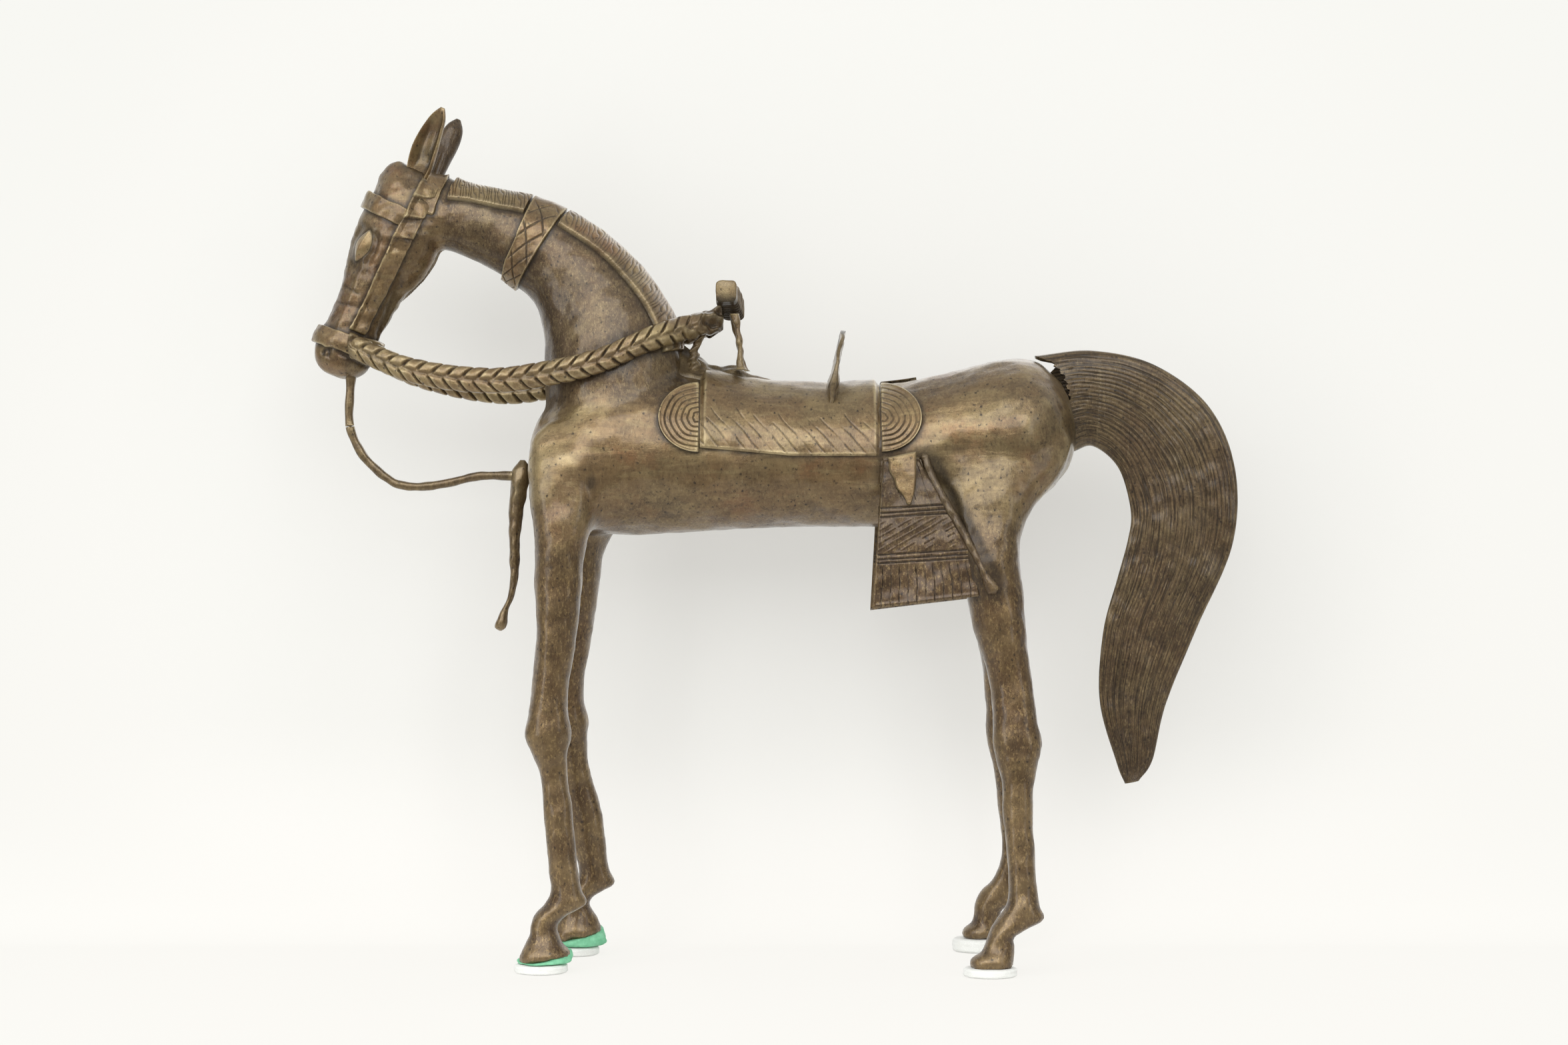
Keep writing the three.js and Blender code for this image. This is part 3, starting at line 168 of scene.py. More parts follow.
def sheet_mesh(table, groove=None, **layers):
    """A bmesh grid moved to a table of points, rows by columns. Points that meet are joined."""
    rows, columns = table.shape[:2]
    places = table * MM + SHIFT
    layers["groove"] = np.zeros((rows, columns)) if groove is None else groove
    bm = bmesh.new()
    bmesh.ops.create_grid(bm, x_segments=rows - 1, y_segments=columns - 1, size=0.5)
    kept = [(bm.verts.layers.float.new(name), values) for name, values in layers.items()]
    for vert in bm.verts:
        i = round((vert.co.x + 0.5) * (rows - 1))
        j = round((vert.co.y + 0.5) * (columns - 1))
        vert.co = places[i, j]
        for layer, values in kept:
            vert[layer] = values[i, j]
    bmesh.ops.remove_doubles(bm, verts=bm.verts, dist=2e-6)
    bmesh.ops.dissolve_degenerate(bm, edges=bm.edges, dist=1e-7)
    bmesh.ops.recalc_face_normals(bm, faces=bm.faces)
    return bm


def ring_table(centre, sideways, up, half_side, half_up, points, squareness=2.0):
    """Points of rings along a body, closed at both ends. A direction is one for all rings or one for each."""
    angle = full_turn(points)
    c = np.sign(np.cos(angle)) * np.abs(np.cos(angle)) ** (2 / squareness)
    s = np.sign(np.sin(angle)) * np.abs(np.sin(angle)) ** (2 / squareness)
    sideways = np.broadcast_to(sideways, centre.shape)
    up = np.broadcast_to(up, centre.shape)
    side = sideways[:, None, :] * (half_side[:, None] * c)[..., None]
    rise = up[:, None, :] * (half_up[:, None] * s)[..., None]
    return capped(centre[:, None, :] + side + rise, centre)


def path_frames(points, count):
    """Evenly spaced points along a smooth path, its direction, sideways and upward there, and the run."""
    points = np.array(points, float)
    line = smooth_rows(np.column_stack([np.arange(len(points)), points]))
    fine = line(np.linspace(0, len(points) - 1, 1200)).T
    run = np.concatenate([[0], np.cumsum(np.linalg.norm(np.diff(fine, axis=0), axis=1))])
    even = np.linspace(0, run[-1], count)
    centre = np.column_stack([np.interp(even, run, fine[:, k]) for k in range(3)])
    tangent = unit(np.gradient(centre, axis=0))
    sideways = np.cross(tangent, [0, 0, 1])
    sideways[np.linalg.norm(sideways, axis=1) < 0.15] = [0, 1, 0]
    sideways = unit(sideways)
    up = unit(np.cross(sideways, tangent))
    return centre, tangent, sideways, up, even


def settle(piece):
    """Applies the piece's modifiers to its mesh."""
    graph = bpy.context.evaluated_depsgraph_get()
    made = bpy.data.meshes.new_from_object(piece.evaluated_get(graph))
    before = piece.data
    piece.modifiers.clear()
    piece.data = made
    bpy.data.meshes.remove(before)


def thicken(piece, thickness):
    """Gives a sheet a thickness in millimetres, inward from its face."""
    solid = piece.modifiers.new("thickness", "SOLIDIFY")
    solid.thickness = thickness * MM
    solid.offset = -1
    settle(piece)
    piece.data.set_sharp_from_angle(angle=math.radians(50))


def turn_faces(piece, outward):
    """Turns a sheet over if its faces point inward on the whole, by a measure of how far each points out."""
    bm = bmesh.new()
    bm.from_mesh(piece.data)
    if sum(outward(face) for face in bm.faces) < 0:
        bmesh.ops.reverse_faces(bm, faces=bm.faces)
    bm.to_mesh(piece.data)
    bm.free()


def coordinates(piece):
    """The piece's vertices in the tables' millimetres."""
    flat = np.empty(len(piece.data.vertices) * 3, np.float32)
    piece.data.vertices.foreach_get("co", flat)
    return (flat.reshape(-1, 3).astype(float) - SHIFT) / MM


def normals(piece):
    flat = np.empty(len(piece.data.vertices) * 3, np.float32)
    piece.data.vertex_normals.foreach_get("vector", flat)
    return flat.reshape(-1, 3).astype(float)


def move_to(piece, points):
    flat = (points * MM + SHIFT).astype(np.float32).ravel()
    piece.data.vertices.foreach_set("co", flat)
    piece.data.update()


def write_attribute(piece, name, values):
    layer = piece.data.attributes.get(name)
    if layer is None:
        layer = piece.data.attributes.new(name, "FLOAT", "POINT")
    layer.data.foreach_set("value", np.asarray(values, np.float32))


def neighbour_mean(piece):
    """A function that gives each vertex the mean of its neighbours' values."""
    mesh = piece.data
    count = len(mesh.vertices)
    ends = np.empty(len(mesh.edges) * 2, np.int32)
    mesh.edges.foreach_get("vertices", ends)
    a, b = ends.reshape(-1, 2).T
    near = np.maximum(np.bincount(a, minlength=count) + np.bincount(b, minlength=count), 1)

    def mean(values):
        columns = values.reshape(count, -1)
        total = np.empty_like(columns)
        for k in range(columns.shape[1]):
            total[:, k] = np.bincount(a, columns[b, k], count) + np.bincount(b, columns[a, k], count)
        return (total / near[:, None]).reshape(values.shape)

    return mean


def soften(piece, rounds, *zones):
    """Smooths the skin inside round zones, given by middle and radii, where one form runs into another."""
    points = coordinates(piece)
    mean = neighbour_mean(piece)
    amount = np.zeros(len(points))
    for middle, radii in zones:
        off = np.linalg.norm((points - np.array(middle)) / np.array(radii), axis=1)
        amount = np.maximum(amount, np.clip(2.2 - 2.2 * off, 0, 1))
    for _ in range(rounds):
        points += (mean(points) - points) * (0.6 * amount)[:, None]
    move_to(piece, points)


def write_hollows(piece, rounds):
    """Stores how hollow (below 0) or raised (above 0) the surface is at each point, as attribute relief."""
    mean_of_neighbours = neighbour_mean(piece)
    points = coordinates(piece)
    broad = points
    for _ in range(rounds):
        broad = mean_of_neighbours(broad)
    relief = np.einsum("ij,ij->i", points - broad, normals(piece))
    for _ in range(2):
        relief = mean_of_neighbours(relief)
    spread = max(np.percentile(np.abs(relief), 92), 1e-6)
    write_attribute(piece, "relief", np.clip(relief / spread, -2, 2))


# Barrel, neck, head and legs

torso_line = smooth_rows([
    (CHEST_X, -1, 37.5, 35.5),
    (-55, 3, 39, 35.5),
    (8, 0, 33, 34),
    (62, 1.7, 34, 34),
    (RUMP_X - RUMP_ROUND, 12.4, 34.8, 37.5),
    (RUMP_X, 12.4, 34.8, 37.5),
])


def torso_section(x):
    """Middle height, half height and half width of the barrel at x."""
    lift, half_height, half_width = torso_line(x)
    into_chest = (CHEST_X + CHEST_ROUND - x) / CHEST_ROUND
    into_rump = (x - RUMP_X + RUMP_ROUND) / RUMP_ROUND
    into = np.maximum(np.maximum(into_chest, into_rump), 0)
    round_off = np.sqrt(np.clip(1 - into**2, 0, 1))
    return BARREL_AXIS + lift, half_height * round_off, half_width * round_off


def torso_point(x, angle, grow):
    """A point on the barrel: the angle turns from the left flank over the back to the right flank."""
    axis, half_height, half_width = torso_section(x)
    y = -np.cos(angle) * (half_width + grow)
    z = axis + np.sin(angle) * (half_height + grow)
    return np.stack([np.broadcast_to(x, y.shape), y, z], -1)


def torso_angle(x, z, grow):
    """The angle on the barrel's left side at a height."""
    axis, half_height, _ = torso_section(x)
    return np.arcsin(np.clip((z - axis) / (half_height + grow), -1, 1))


def torso_mesh():
    turn = np.linspace(0, math.pi / 2, 26)
    front = CHEST_X + CHEST_ROUND - CHEST_ROUND * np.cos(turn)
    rear = RUMP_X - RUMP_ROUND + RUMP_ROUND * np.sin(turn)
    x = np.concatenate([front, np.linspace(front[-1], rear[0], 70)[1:-1], rear])
    axis, half_height, half_width = torso_section(x)
    centre = np.column_stack([x, 0 * x, axis])
    return sheet_mesh(ring_table(centre, ACROSS, UPWARD, half_width, half_height, 96))


NECK_BASE_X = -76
NECK_BASE_Z = 261.5
NECK_REACH = 81
NECK_RISE = 96.7
POLL_DEPTH = 30.6
POLL_WIDTH = 26
DEPTH_GAIN = 36.9
WIDTH_GAIN = 32
# Shares of reach, rise, depth gain and width gain, from poll to base
NECK_ROWS = [
    (1.16, 1.013, -0.1, -0.03),
    (1, 1, 0, 0),
    (0.767, 0.947, 0.1, 0.06),
    (0.515, 0.868, 0.28, 0.19),
    (0.291, 0.735, 0.41, 0.34),
    (0.148, 0.576, 0.64, 0.53),
    (0.046, 0.361, 0.91, 0.81),
    (0, 0.103, 1, 1),
    (0, 0, 0.9, 0.94),
]
neck_line = smooth_rows([
    (
        i / (len(NECK_ROWS) - 1), NECK_BASE_X - NECK_REACH * reach, NECK_BASE_Z + NECK_RISE * rise,
        (POLL_DEPTH + DEPTH_GAIN * deep) / 2, (POLL_WIDTH + WIDTH_GAIN * wide) / 2,
    )
    for i, (reach, rise, deep, wide) in enumerate(NECK_ROWS)
])


def neck_section(along):
    """Middle, direction, crest direction, half depth and half width, from the poll (0) to the base (1)."""
    x, z, deep, wide = neck_line(along)
    ahead = neck_line(along + 0.004)
    behind = neck_line(along - 0.004)
    tangent = unit(np.stack([ahead[0] - behind[0], 0 * x, ahead[1] - behind[1]], -1))
    crest = np.stack([-tangent[..., 2], 0 * x, tangent[..., 0]], -1)
    centre = np.stack([x, 0 * x, z], -1)
    return centre, tangent, crest, deep, wide


def neck_point(along, angle):
    """A point on the neck: angle 0 is the right side, a quarter turn is the crest, a half turn the left."""
    centre, _, crest, deep, wide = neck_section(along)
    point = centre + crest * (np.sin(angle) * deep)[..., None]
    point[..., 1] += np.cos(angle) * wide
    return point


def neck_mesh():
    along = np.linspace(0, 1, 70)
    centre, _, crest, deep, wide = neck_section(along)
    return sheet_mesh(ring_table(centre, ACROSS, crest, wide, deep, 72))


def neck_side(x, z):
    """Half width of the neck beside a point of the middle plane."""
    along = np.linspace(0, 1, 200)
    centre, tangent, crest, deep, wide = neck_section(along)
    off = np.array([x, 0, z]) - centre
    up = np.einsum("ij,ij->i", off, crest) / deep
    near = (np.abs(np.einsum("ij,ij->i", off, tangent)) < 1.5) & (np.abs(up) < 1)
    return float(np.max(wide[near] * np.sqrt(1 - up[near] ** 2), initial=0))


HEAD_LENGTH = 106
HEAD_DEPTH = 40.5
HEAD_WIDTH = 34
HEAD_TILT = math.radians(22.4)
CROWN = np.array([-169.3, 0, 378.7])
HEAD_DOWN = np.array([-math.sin(HEAD_TILT), 0, -math.cos(HEAD_TILT)])
HEAD_BACK = np.array([math.cos(HEAD_TILT), 0, -math.sin(HEAD_TILT)])
# Share of the length, face edge and jaw edge as shares of the depth, half width as a share of the width
head_line = smooth_rows([
    (0, -0.4, 0.29, 0.29),
    (0.076, -0.49, 0.41, 0.4),
    (0.171, -0.48, 0.475, 0.47),
    (0.286, -0.49, 0.507, 0.5),
    (0.4, -0.472, 0.478, 0.47),
    (0.524, -0.415, 0.36, 0.39),
    (0.648, -0.39, 0.295, 0.33),
    (0.781, -0.405, 0.262, 0.32),
    (0.876, -0.42, 0.305, 0.35),
    (0.933, -0.38, 0.27, 0.32),
    (0.976, -0.28, 0.165, 0.23),
    (1, -0.12, 0.03, 0.1),
])


def head_section(down):
    """Face edge and jaw edge behind the head's axis, and half width, at a distance down from the crown."""
    face, jaw, half = head_line(down / HEAD_LENGTH)
    return face * HEAD_DEPTH, jaw * HEAD_DEPTH, half * HEAD_WIDTH


def head_point(down, angle):
    """A point on the head: angle 0 is the right side, a quarter turn the jaw, a half turn the left side."""
    face, jaw, half = head_section(down)
    back = (face + jaw) / 2 + np.sin(angle) * (jaw - face) / 2
    point = CROWN + HEAD_DOWN * np.asarray(down)[..., None] + HEAD_BACK * back[..., None]
    point[..., 1] += np.cos(angle) * half
    return point


def head_angle(down, back, side):
    """The angle on the head of a point that lies a distance behind its axis."""
    face, jaw, _ = head_section(down)
    turn = np.arcsin(np.clip((back - (face + jaw) / 2) / ((jaw - face) / 2), -1, 1))
    return turn if side == RIGHT else math.pi - turn


def head_mesh():
    down = np.linspace(0, HEAD_LENGTH, 80)
    face, jaw, half = head_section(down)
    centre = CROWN + HEAD_DOWN * down[:, None] + HEAD_BACK * ((face + jaw) / 2)[:, None]
    return sheet_mesh(ring_table(centre, ACROSS, HEAD_BACK, half, (jaw - face) / 2, 64))


FORE_TRACK = 66
HIND_TRACK = 92
TOP_TRACK = 46
KNEE = 104
HOCK = 102
HOOF_TILT = 0.15
HOOF_SUNK = 1.0
HOOF_HEIGHT = 7


def foreleg_rows(shoulder):
    """Height above the sole, front and back edge from the leg's line, and half width."""
    return [
        (0, -15.8, 8, 10.4), (2.5, -16, 7.6, 10.2), (5, -14.4, 5.2, 8.8), (9, -11.4, 3.2, 7.2),
        (16, -10.2, 2.2, 6.8), (20.5, -8.2, 7.5, 7), (25, -3.6, 15.8, 7), (30.6, -1.2, 13.4, 6.8),
        (42.6, -2.2, 11.2, 6.5), (65, -4.6, 9.7, 6.6), (90, -8, 6, 7), (97, -11, 6.4, 8.4),
        (KNEE, -13.8, 8.1, 9.4), (114, -11.9, 6.4, 9), (144, -9, 9.4, 10),
        (shoulder - 64, -8.8, 12.8, 12), (shoulder - 42, -9.2, 14.6, 14), (shoulder - 33, -10.4, 18, 14.5),
        (shoulder - 18, -12.6, 23, 13.5), (shoulder - 2, -13, 23, 12), (shoulder + 8, -10.5, 21, 9.5),
        (shoulder + 17, -3, 15, 4),
    ]


def hind_leg_rows(hip):
    """The same for a hind leg."""
    return [
        (0, -16.4, 2.4, 9.4), (2.5, -17, 2.5, 9.5), (4.5, -15.6, 2.6, 8.8), (6.5, -12.2, 2.7, 7.6),
        (10, -10.2, 2.8, 7), (14, -8.8, 3, 6.8), (17.5, -7.2, 9, 7), (22, -4.6, 16.8, 7),
        (27.5, -0.6, 15.4, 6.8), (34, 0.9, 14.2, 6.5), (50, 0.5, 13, 6.5), (70, -1, 12.3, 6.6),
        (87, -2.4, 13, 7.2), (95, -4.6, 15, 8.4), (HOCK, -5.7, 17, 9.2), (115, -5.5, 14.6, 8.8),
        (135, -7.7, 12, 9.6), (hip - 82, -14.5, 9.7, 13), (hip - 63, -18.5, 8.2, 15.5),
        (hip - 46, -23, 7, 17), (hip - 33, -25, 9.4, 16.4), (hip - 22, -27, 15, 15.5),
        (hip - 13, -31, 23, 15), (hip - 4, -34, 29.5, 14), (hip + 8, -33, 32, 11), (hip + 18, -24, 25, 5),
    ]


# How much further forward and back the right legs reach, by height above the sole
far_foreleg_line = smooth_rows([
    (0, 0, -1.5), (4, 0, 1), (8, 0, 2.6), (12, 0, 1.6), (19, 0, -0.3), (28, 0.3, 0.3), (40, 1, 1.6),
    (55, 1.6, 1.8), (70, 2, 0.4), (100, 1, -0.7), (128, 0, -0.4), (150, 0, 0.4), (185, 0, 2.2),
    (200, 0, 5.2), (215, 0, 3), (240, 0, 0),
])
far_hind_leg_line = smooth_rows([
    (0, -1.5, 0), (8, -0.5, 0), (13, 1, 0), (18, 2.6, 0), (24, 3.2, 0), (29, 2, 0), (36, 0.2, 0),
    (43, -1.4, 0), (60, -1.2, 0), (70, 0, 0), (80, 1, 0), (100, 2, 0), (115, 3, 0),
    (130, 3.2, 0), (140, 2.2, 0), (152, 0.6, 0), (170, 0, 0), (240, 0, 0),
])

# Name, leg line x, sole height, step of the hoof, side
LEGS = [
    ("foreleg_left", -104.5, 7.0, 0, LEFT),
    ("foreleg_right", -100.3, 9.6, 7, RIGHT),
    ("hind_leg_left", 108, 4.3, 0, LEFT),
    ("hind_leg_right", 111.6, 6.7, -4, RIGHT),
]


def leg_mesh(name, x, sole, step, side):
    """A leg from its sole into the barrel. The front hooves tilt, with their toes in the putty."""
    fore = name.startswith("foreleg")
    top = BARREL_AXIS - sole
    rows = foreleg_rows(top) if fore else hind_leg_rows(top)
    track, joint = (FORE_TRACK, KNEE) if fore else (HIND_TRACK, HOCK)
    height = np.concatenate([np.linspace(0, 32, 40), np.linspace(32, rows[-1][0], 140)[1:]])
    front, back, half = smooth_rows(rows)(height)
    offset = (track + (TOP_TRACK - track) * height / top) / 2
    stepped = step * np.clip(1 - height / (1.25 * joint), 0, 1)
    if side == RIGHT:
        forward, rearward = (far_foreleg_line if fore else far_hind_leg_line)(height)
        front = front - forward
        back = back + rearward
    centre = np.column_stack([x + (front + back) / 2 + stepped, side * offset, sole + height])
    table = ring_table(centre, ACROSS, ALONG, half, (back - front) / 2, 48, 2.2)
    if fore:
        near_sole = np.clip(1 - (table[..., 2] - sole) / HOOF_HEIGHT, 0, 1)
        table[..., 2] += near_sole * (HOOF_TILT * (table[..., 0] - x - stepped[0] + 4) - HOOF_SUNK)
    return sheet_mesh(table)


def press(points, out, centre, radius, height):
    """Raises a round swelling on a surface, or sinks a dent where the height is negative."""
    off = np.linalg.norm((points - np.array(centre)) / np.array(radius), axis=1)
    points += out * (height * np.exp(-2 * off**2))[:, None]


def head_places(points):
    """How far points lie down the head and behind its axis."""
    off = points - CROWN
    return off @ HEAD_DOWN, off @ HEAD_BACK


def carve_head(points, out):
    """Nostrils, mouth, brow and cheek planes. Returns how deep each point lies in a carved line."""
    down, back = head_places(points)
    on_head = (points[:, 0] < -150) & (points[:, 2] > 270)
    side = np.abs(points[:, 1])
    nostril = np.hypot((down - 97.5) / 2.3, (back + 9) / 1.5)
    ring = np.exp(-((nostril - 1) ** 2) / 0.35) * (down < 98.6)
    mouth = bell(down - 95.2 - 0.07 * back, 0.7) * between(back, -4, 14, 4)
    ridge = bell(back + 8.5 - 0.02 * (down - 60), 2.0) * between(down, 50, 84, 8)
    notches = bell(down - 66 - 0.15 * back, 0.7) + bell(down - 71 + 0.1 * back, 0.7)
    notches *= between(back, -14, -5, 2)
    brow = bell(down - 33 - 0.25 * (back + 12), 2.6) * between(back, -18, -3, 4)
    sunk = (0.9 * ring + 0.7 * mouth + 0.5 * notches) * on_head * between(side, 3, 30, 2)
    socket = np.exp(-((np.hypot((down - EYE_DOWN) / 10.5, (back + 11.5) / 6) - 1) ** 2) / 0.06)
    cheek = bell(back - 15, 5.5) * between(down, 22, 56, 10)
    hollow = bell(back - 10.5, 2) * between(down, 46, 82, 8)
    jaw = bell(back - 19 + 0.2 * (down - 40), 2.5) * between(down, 26, 70, 8)
    form = 0.6 * ridge + 1.0 * brow + 1.1 * cheek - 1.0 * hollow + 0.7 * jaw - 0.6 * socket
    points += out * (form * on_head * (side > 3) - sunk)[:, None]
    return np.clip((ring + 0.8 * mouth + 0.7 * notches + 0.45 * hollow + 0.3 * socket) * on_head, 0, 1)


def casting_patina_and_shade(points, out):
    """How dark each point of the casting is, as patina and painted shade: head, neck, rump and legs are
    browner than the barrel, and painted shade darkens the throat where it faces down, a band below the
    cloth's hem, the right legs and the legs lower down.
    """
    x, y, z = points.T
    low = np.clip((238 - z) / 42, 0, 1)
    legs = low * (0.68 + 0.12 * np.clip(y / 20, 0, 1) + 0.2 * np.clip((160 - z) / 100, 0, 1))
    head = between(x, -260, -160, 5) * (z > 270) * 0.34
    neck = between(x, -160, -40, 8) * np.clip((z - 262) / 14, 0, 1) * 0.68
    rump = between(x, 62, 170, 8) * np.clip((z - 224) / 10, 0, 1) * 0.3
    throat = np.clip((out @ np.array([-0.83, 0, -0.55]) - 0.1) / 0.4, 0, 1) * between(z, 262, 372, 6)
    hem = between(x, -60, 60, 12) * between(z, 226, 242, 8) * 0.1
    dark = np.max([legs, head, neck, rump, throat * (x > -158), hem], axis=0)
    return np.clip(dark + 0.12 * lumps(points, 26, 19), 0, 1)


def stay_shadow(points):
    """Painted shadow on the thigh just behind the rod along the flap's rear edge."""
    x, y, z = points.T
    behind = (x - 69.4) * 0.89 + (z - 246) * 0.46
    return 0.85 * bell(behind - 3, 2.4) * (np.abs(y) > 22) * between(z, 184, 244, 4)


HEAD_REAR_X = -152
HEAD_LOW_Z = 272
SKIN_VOXEL = 1.59 * MM
# Swellings and dents of the casting: middle, radii and height
SWELLINGS = [
    ((-98, -33, 239), (12, 12, 10), 1.5),
    ((-87, -35, 227), (6, 9, 13), -1.2),
    ((-103, -33, 222), (5, 9, 8), -0.9),
    ((112, -36, 252), (17, 12, 15), 1.4),
    ((84, -35, 246), (9, 10, 9), -0.9),
    ((-157, 0, 374), (9, 15, 8), 3.0),
    ((-178.5, 0, 385), (6, 14, 5), 2.2),
    ((-191, 0, 373), (8, 16, 9), -1.2),
    ((-217, 0, 288), (7, 14, 10), 0.8),
    ((70, 0, 280), (22, 16, 6), 1.0),
    ((125, 0, 287), (10, 14, 5), 1.0),
]


def horse_casting():
    """Barrel, neck, head and legs as the one hollow casting they are, flowing into each other."""
    joined = bmesh.new()
    parts = [torso_mesh(), neck_mesh(), head_mesh()]
    parts += [leg_mesh(*leg) for leg in LEGS]
    for part in parts:
        scratch = bpy.data.meshes.new("part")
        part.to_mesh(scratch)
        part.free()
        joined.from_mesh(scratch)
        bpy.data.meshes.remove(scratch)
    piece = new_piece("horse_casting", joined)
    voxels = piece.modifiers.new("one_skin", "REMESH")
    voxels.mode = "VOXEL"
    voxels.voxel_size = SKIN_VOXEL
    voxels.use_smooth_shade = True
    settle(piece)
    # The whole skin a little, then shoulders, thighs, buttocks and elbows, then the neck's base and the poll
    soften(piece, 5, ((-20, 0, 240), (900, 900, 236)))
    for side in (LEFT, RIGHT):
        soften(
            piece, 31,
            ((-98, side * 30, 226), (34, 24, 30)),
            ((102, side * 32, 222), (44, 24, 34)),
            ((132, side * 24, 232), (18, 22, 24)),
            ((-84, side * 12, 206), (16, 24, 16)),
        )
    soften(piece, 28, ((-76, 0, 268), (44, 45, 22)), ((-160, 0, 356), (16, 22, 18)))
    refine_head(piece)
    points = coordinates(piece)
    out = normals(piece)
    points += out * 0.25
    head = between(points[:, 0], -260, -156, 6) * (points[:, 2] > 270)
    rough = 0.42 * lumps(points, 12, 3) + 0.2 * lumps(points, 5.5, 5) + 0.09 * lumps(points, 2.6, 7)
    points += out * (rough + 0.16 * head * lumps(points, 4, 9))[:, None]
    for middle, radii, height in SWELLINGS:
        press(points, out, middle, radii, height)
    # Groove also takes the rod's painted shadow on the thigh.
    groove = np.maximum(carve_head(points, out), stay_shadow(points))
    move_to(piece, points)
    write_attribute(piece, "groove", groove)
    # This attribute holds patina and painted shade.
    write_attribute(piece, "patina", casting_patina_and_shade(points, out))
    write_hollows(piece, 8)
    return piece


def refine_head(piece):
    """Divides the faces of the head once more, for the lines carved in it."""
    bm = bmesh.new()
    bm.from_mesh(piece.data)
    rear = HEAD_REAR_X * MM + SHIFT[0]
    low = HEAD_LOW_Z * MM
    edges = [e for e in bm.edges if all(v.co.x < rear and v.co.z > low for v in e.verts)]
    bmesh.ops.subdivide_edges(bm, edges=edges, cuts=1, use_grid_fill=True)
    bm.to_mesh(piece.data)
    bm.free()
    piece.data.shade_smooth()


def nearest_tree(places):
    """A search tree for the nearest of many places."""
    tree = KDTree(len(places))
    for i, place in enumerate(places):
        tree.insert(place, i)
    tree.balance()
    return tree


SEAM_REACH = 1.5
RESTING_REACH = 3.4


def darken_seams(casting, trims, resting):
    """Darkens the casting with dirt and painted shade along the borders of straps and plates, and round
    pieces that rest on it.
    """
    borders = []
    for trim in trims:
        bm = bmesh.new()
        bm.from_mesh(trim.data)
        borders += [vert.co.copy() for vert in bm.verts if vert.is_boundary]
        bm.free()
    near = [vert.co.copy() for piece in resting for vert in piece.data.vertices]
    seam_tree = nearest_tree(borders)
    rest_tree = nearest_tree(near)
    seam = np.array([seam_tree.find(vert.co)[2] for vert in casting.data.vertices]) / MM
    rest = np.array([rest_tree.find(vert.co)[2] for vert in casting.data.vertices]) / MM
    layer = casting.data.attributes["groove"]
    groove = np.empty(len(seam), np.float32)
    layer.data.foreach_get("value", groove)
    # Dirt and painted shade along strap and plate borders, and round pieces resting on the casting.
    groove = np.maximum(groove, 0.95 * bell(seam, SEAM_REACH))
    write_attribute(casting, "groove", np.maximum(groove, 0.75 * bell(rest, RESTING_REACH)))


class Skin:
    """The casting's surface, for laying straps on it."""

    def __init__(self, piece):
        bm = bmesh.new()
        bm.from_mesh(piece.data)
        self.tree = BVHTree.FromBMesh(bm)
        bm.free()

    def lay(self, table, lift):
        """Moves a table of points onto the surface and then out from it by a lift in millimetres."""
        flat = (table.reshape(-1, 3) * MM + SHIFT).tolist()
        found = [self.tree.find_nearest(point)[:2] for point in flat]
        at = np.array([place[:] for place, _ in found]).reshape(table.shape)
        out = np.array([normal[:] for _, normal in found]).reshape(table.shape)
        for _ in range(3):
            at = grid_mean(at)
            out = grid_mean(out)
        return (at - SHIFT) / MM + unit(out) * np.asarray(lift)[..., None]


def grid_mean(table):
    """Each point's mean with its neighbours along rows and columns, but for the table's border."""
    mean = table.copy()
    inner = table[1:-1, 1:-1] * 2 + table[:-2, 1:-1] + table[2:, 1:-1] + table[1:-1, :-2] + table[1:-1, 2:]
    mean[1:-1, 1:-1] = inner / 6
    return mean


# Ears, eyes, mane and collar


EAR_HALF_WIDTH = 6.9
EAR_HALF_DEPTH = 4


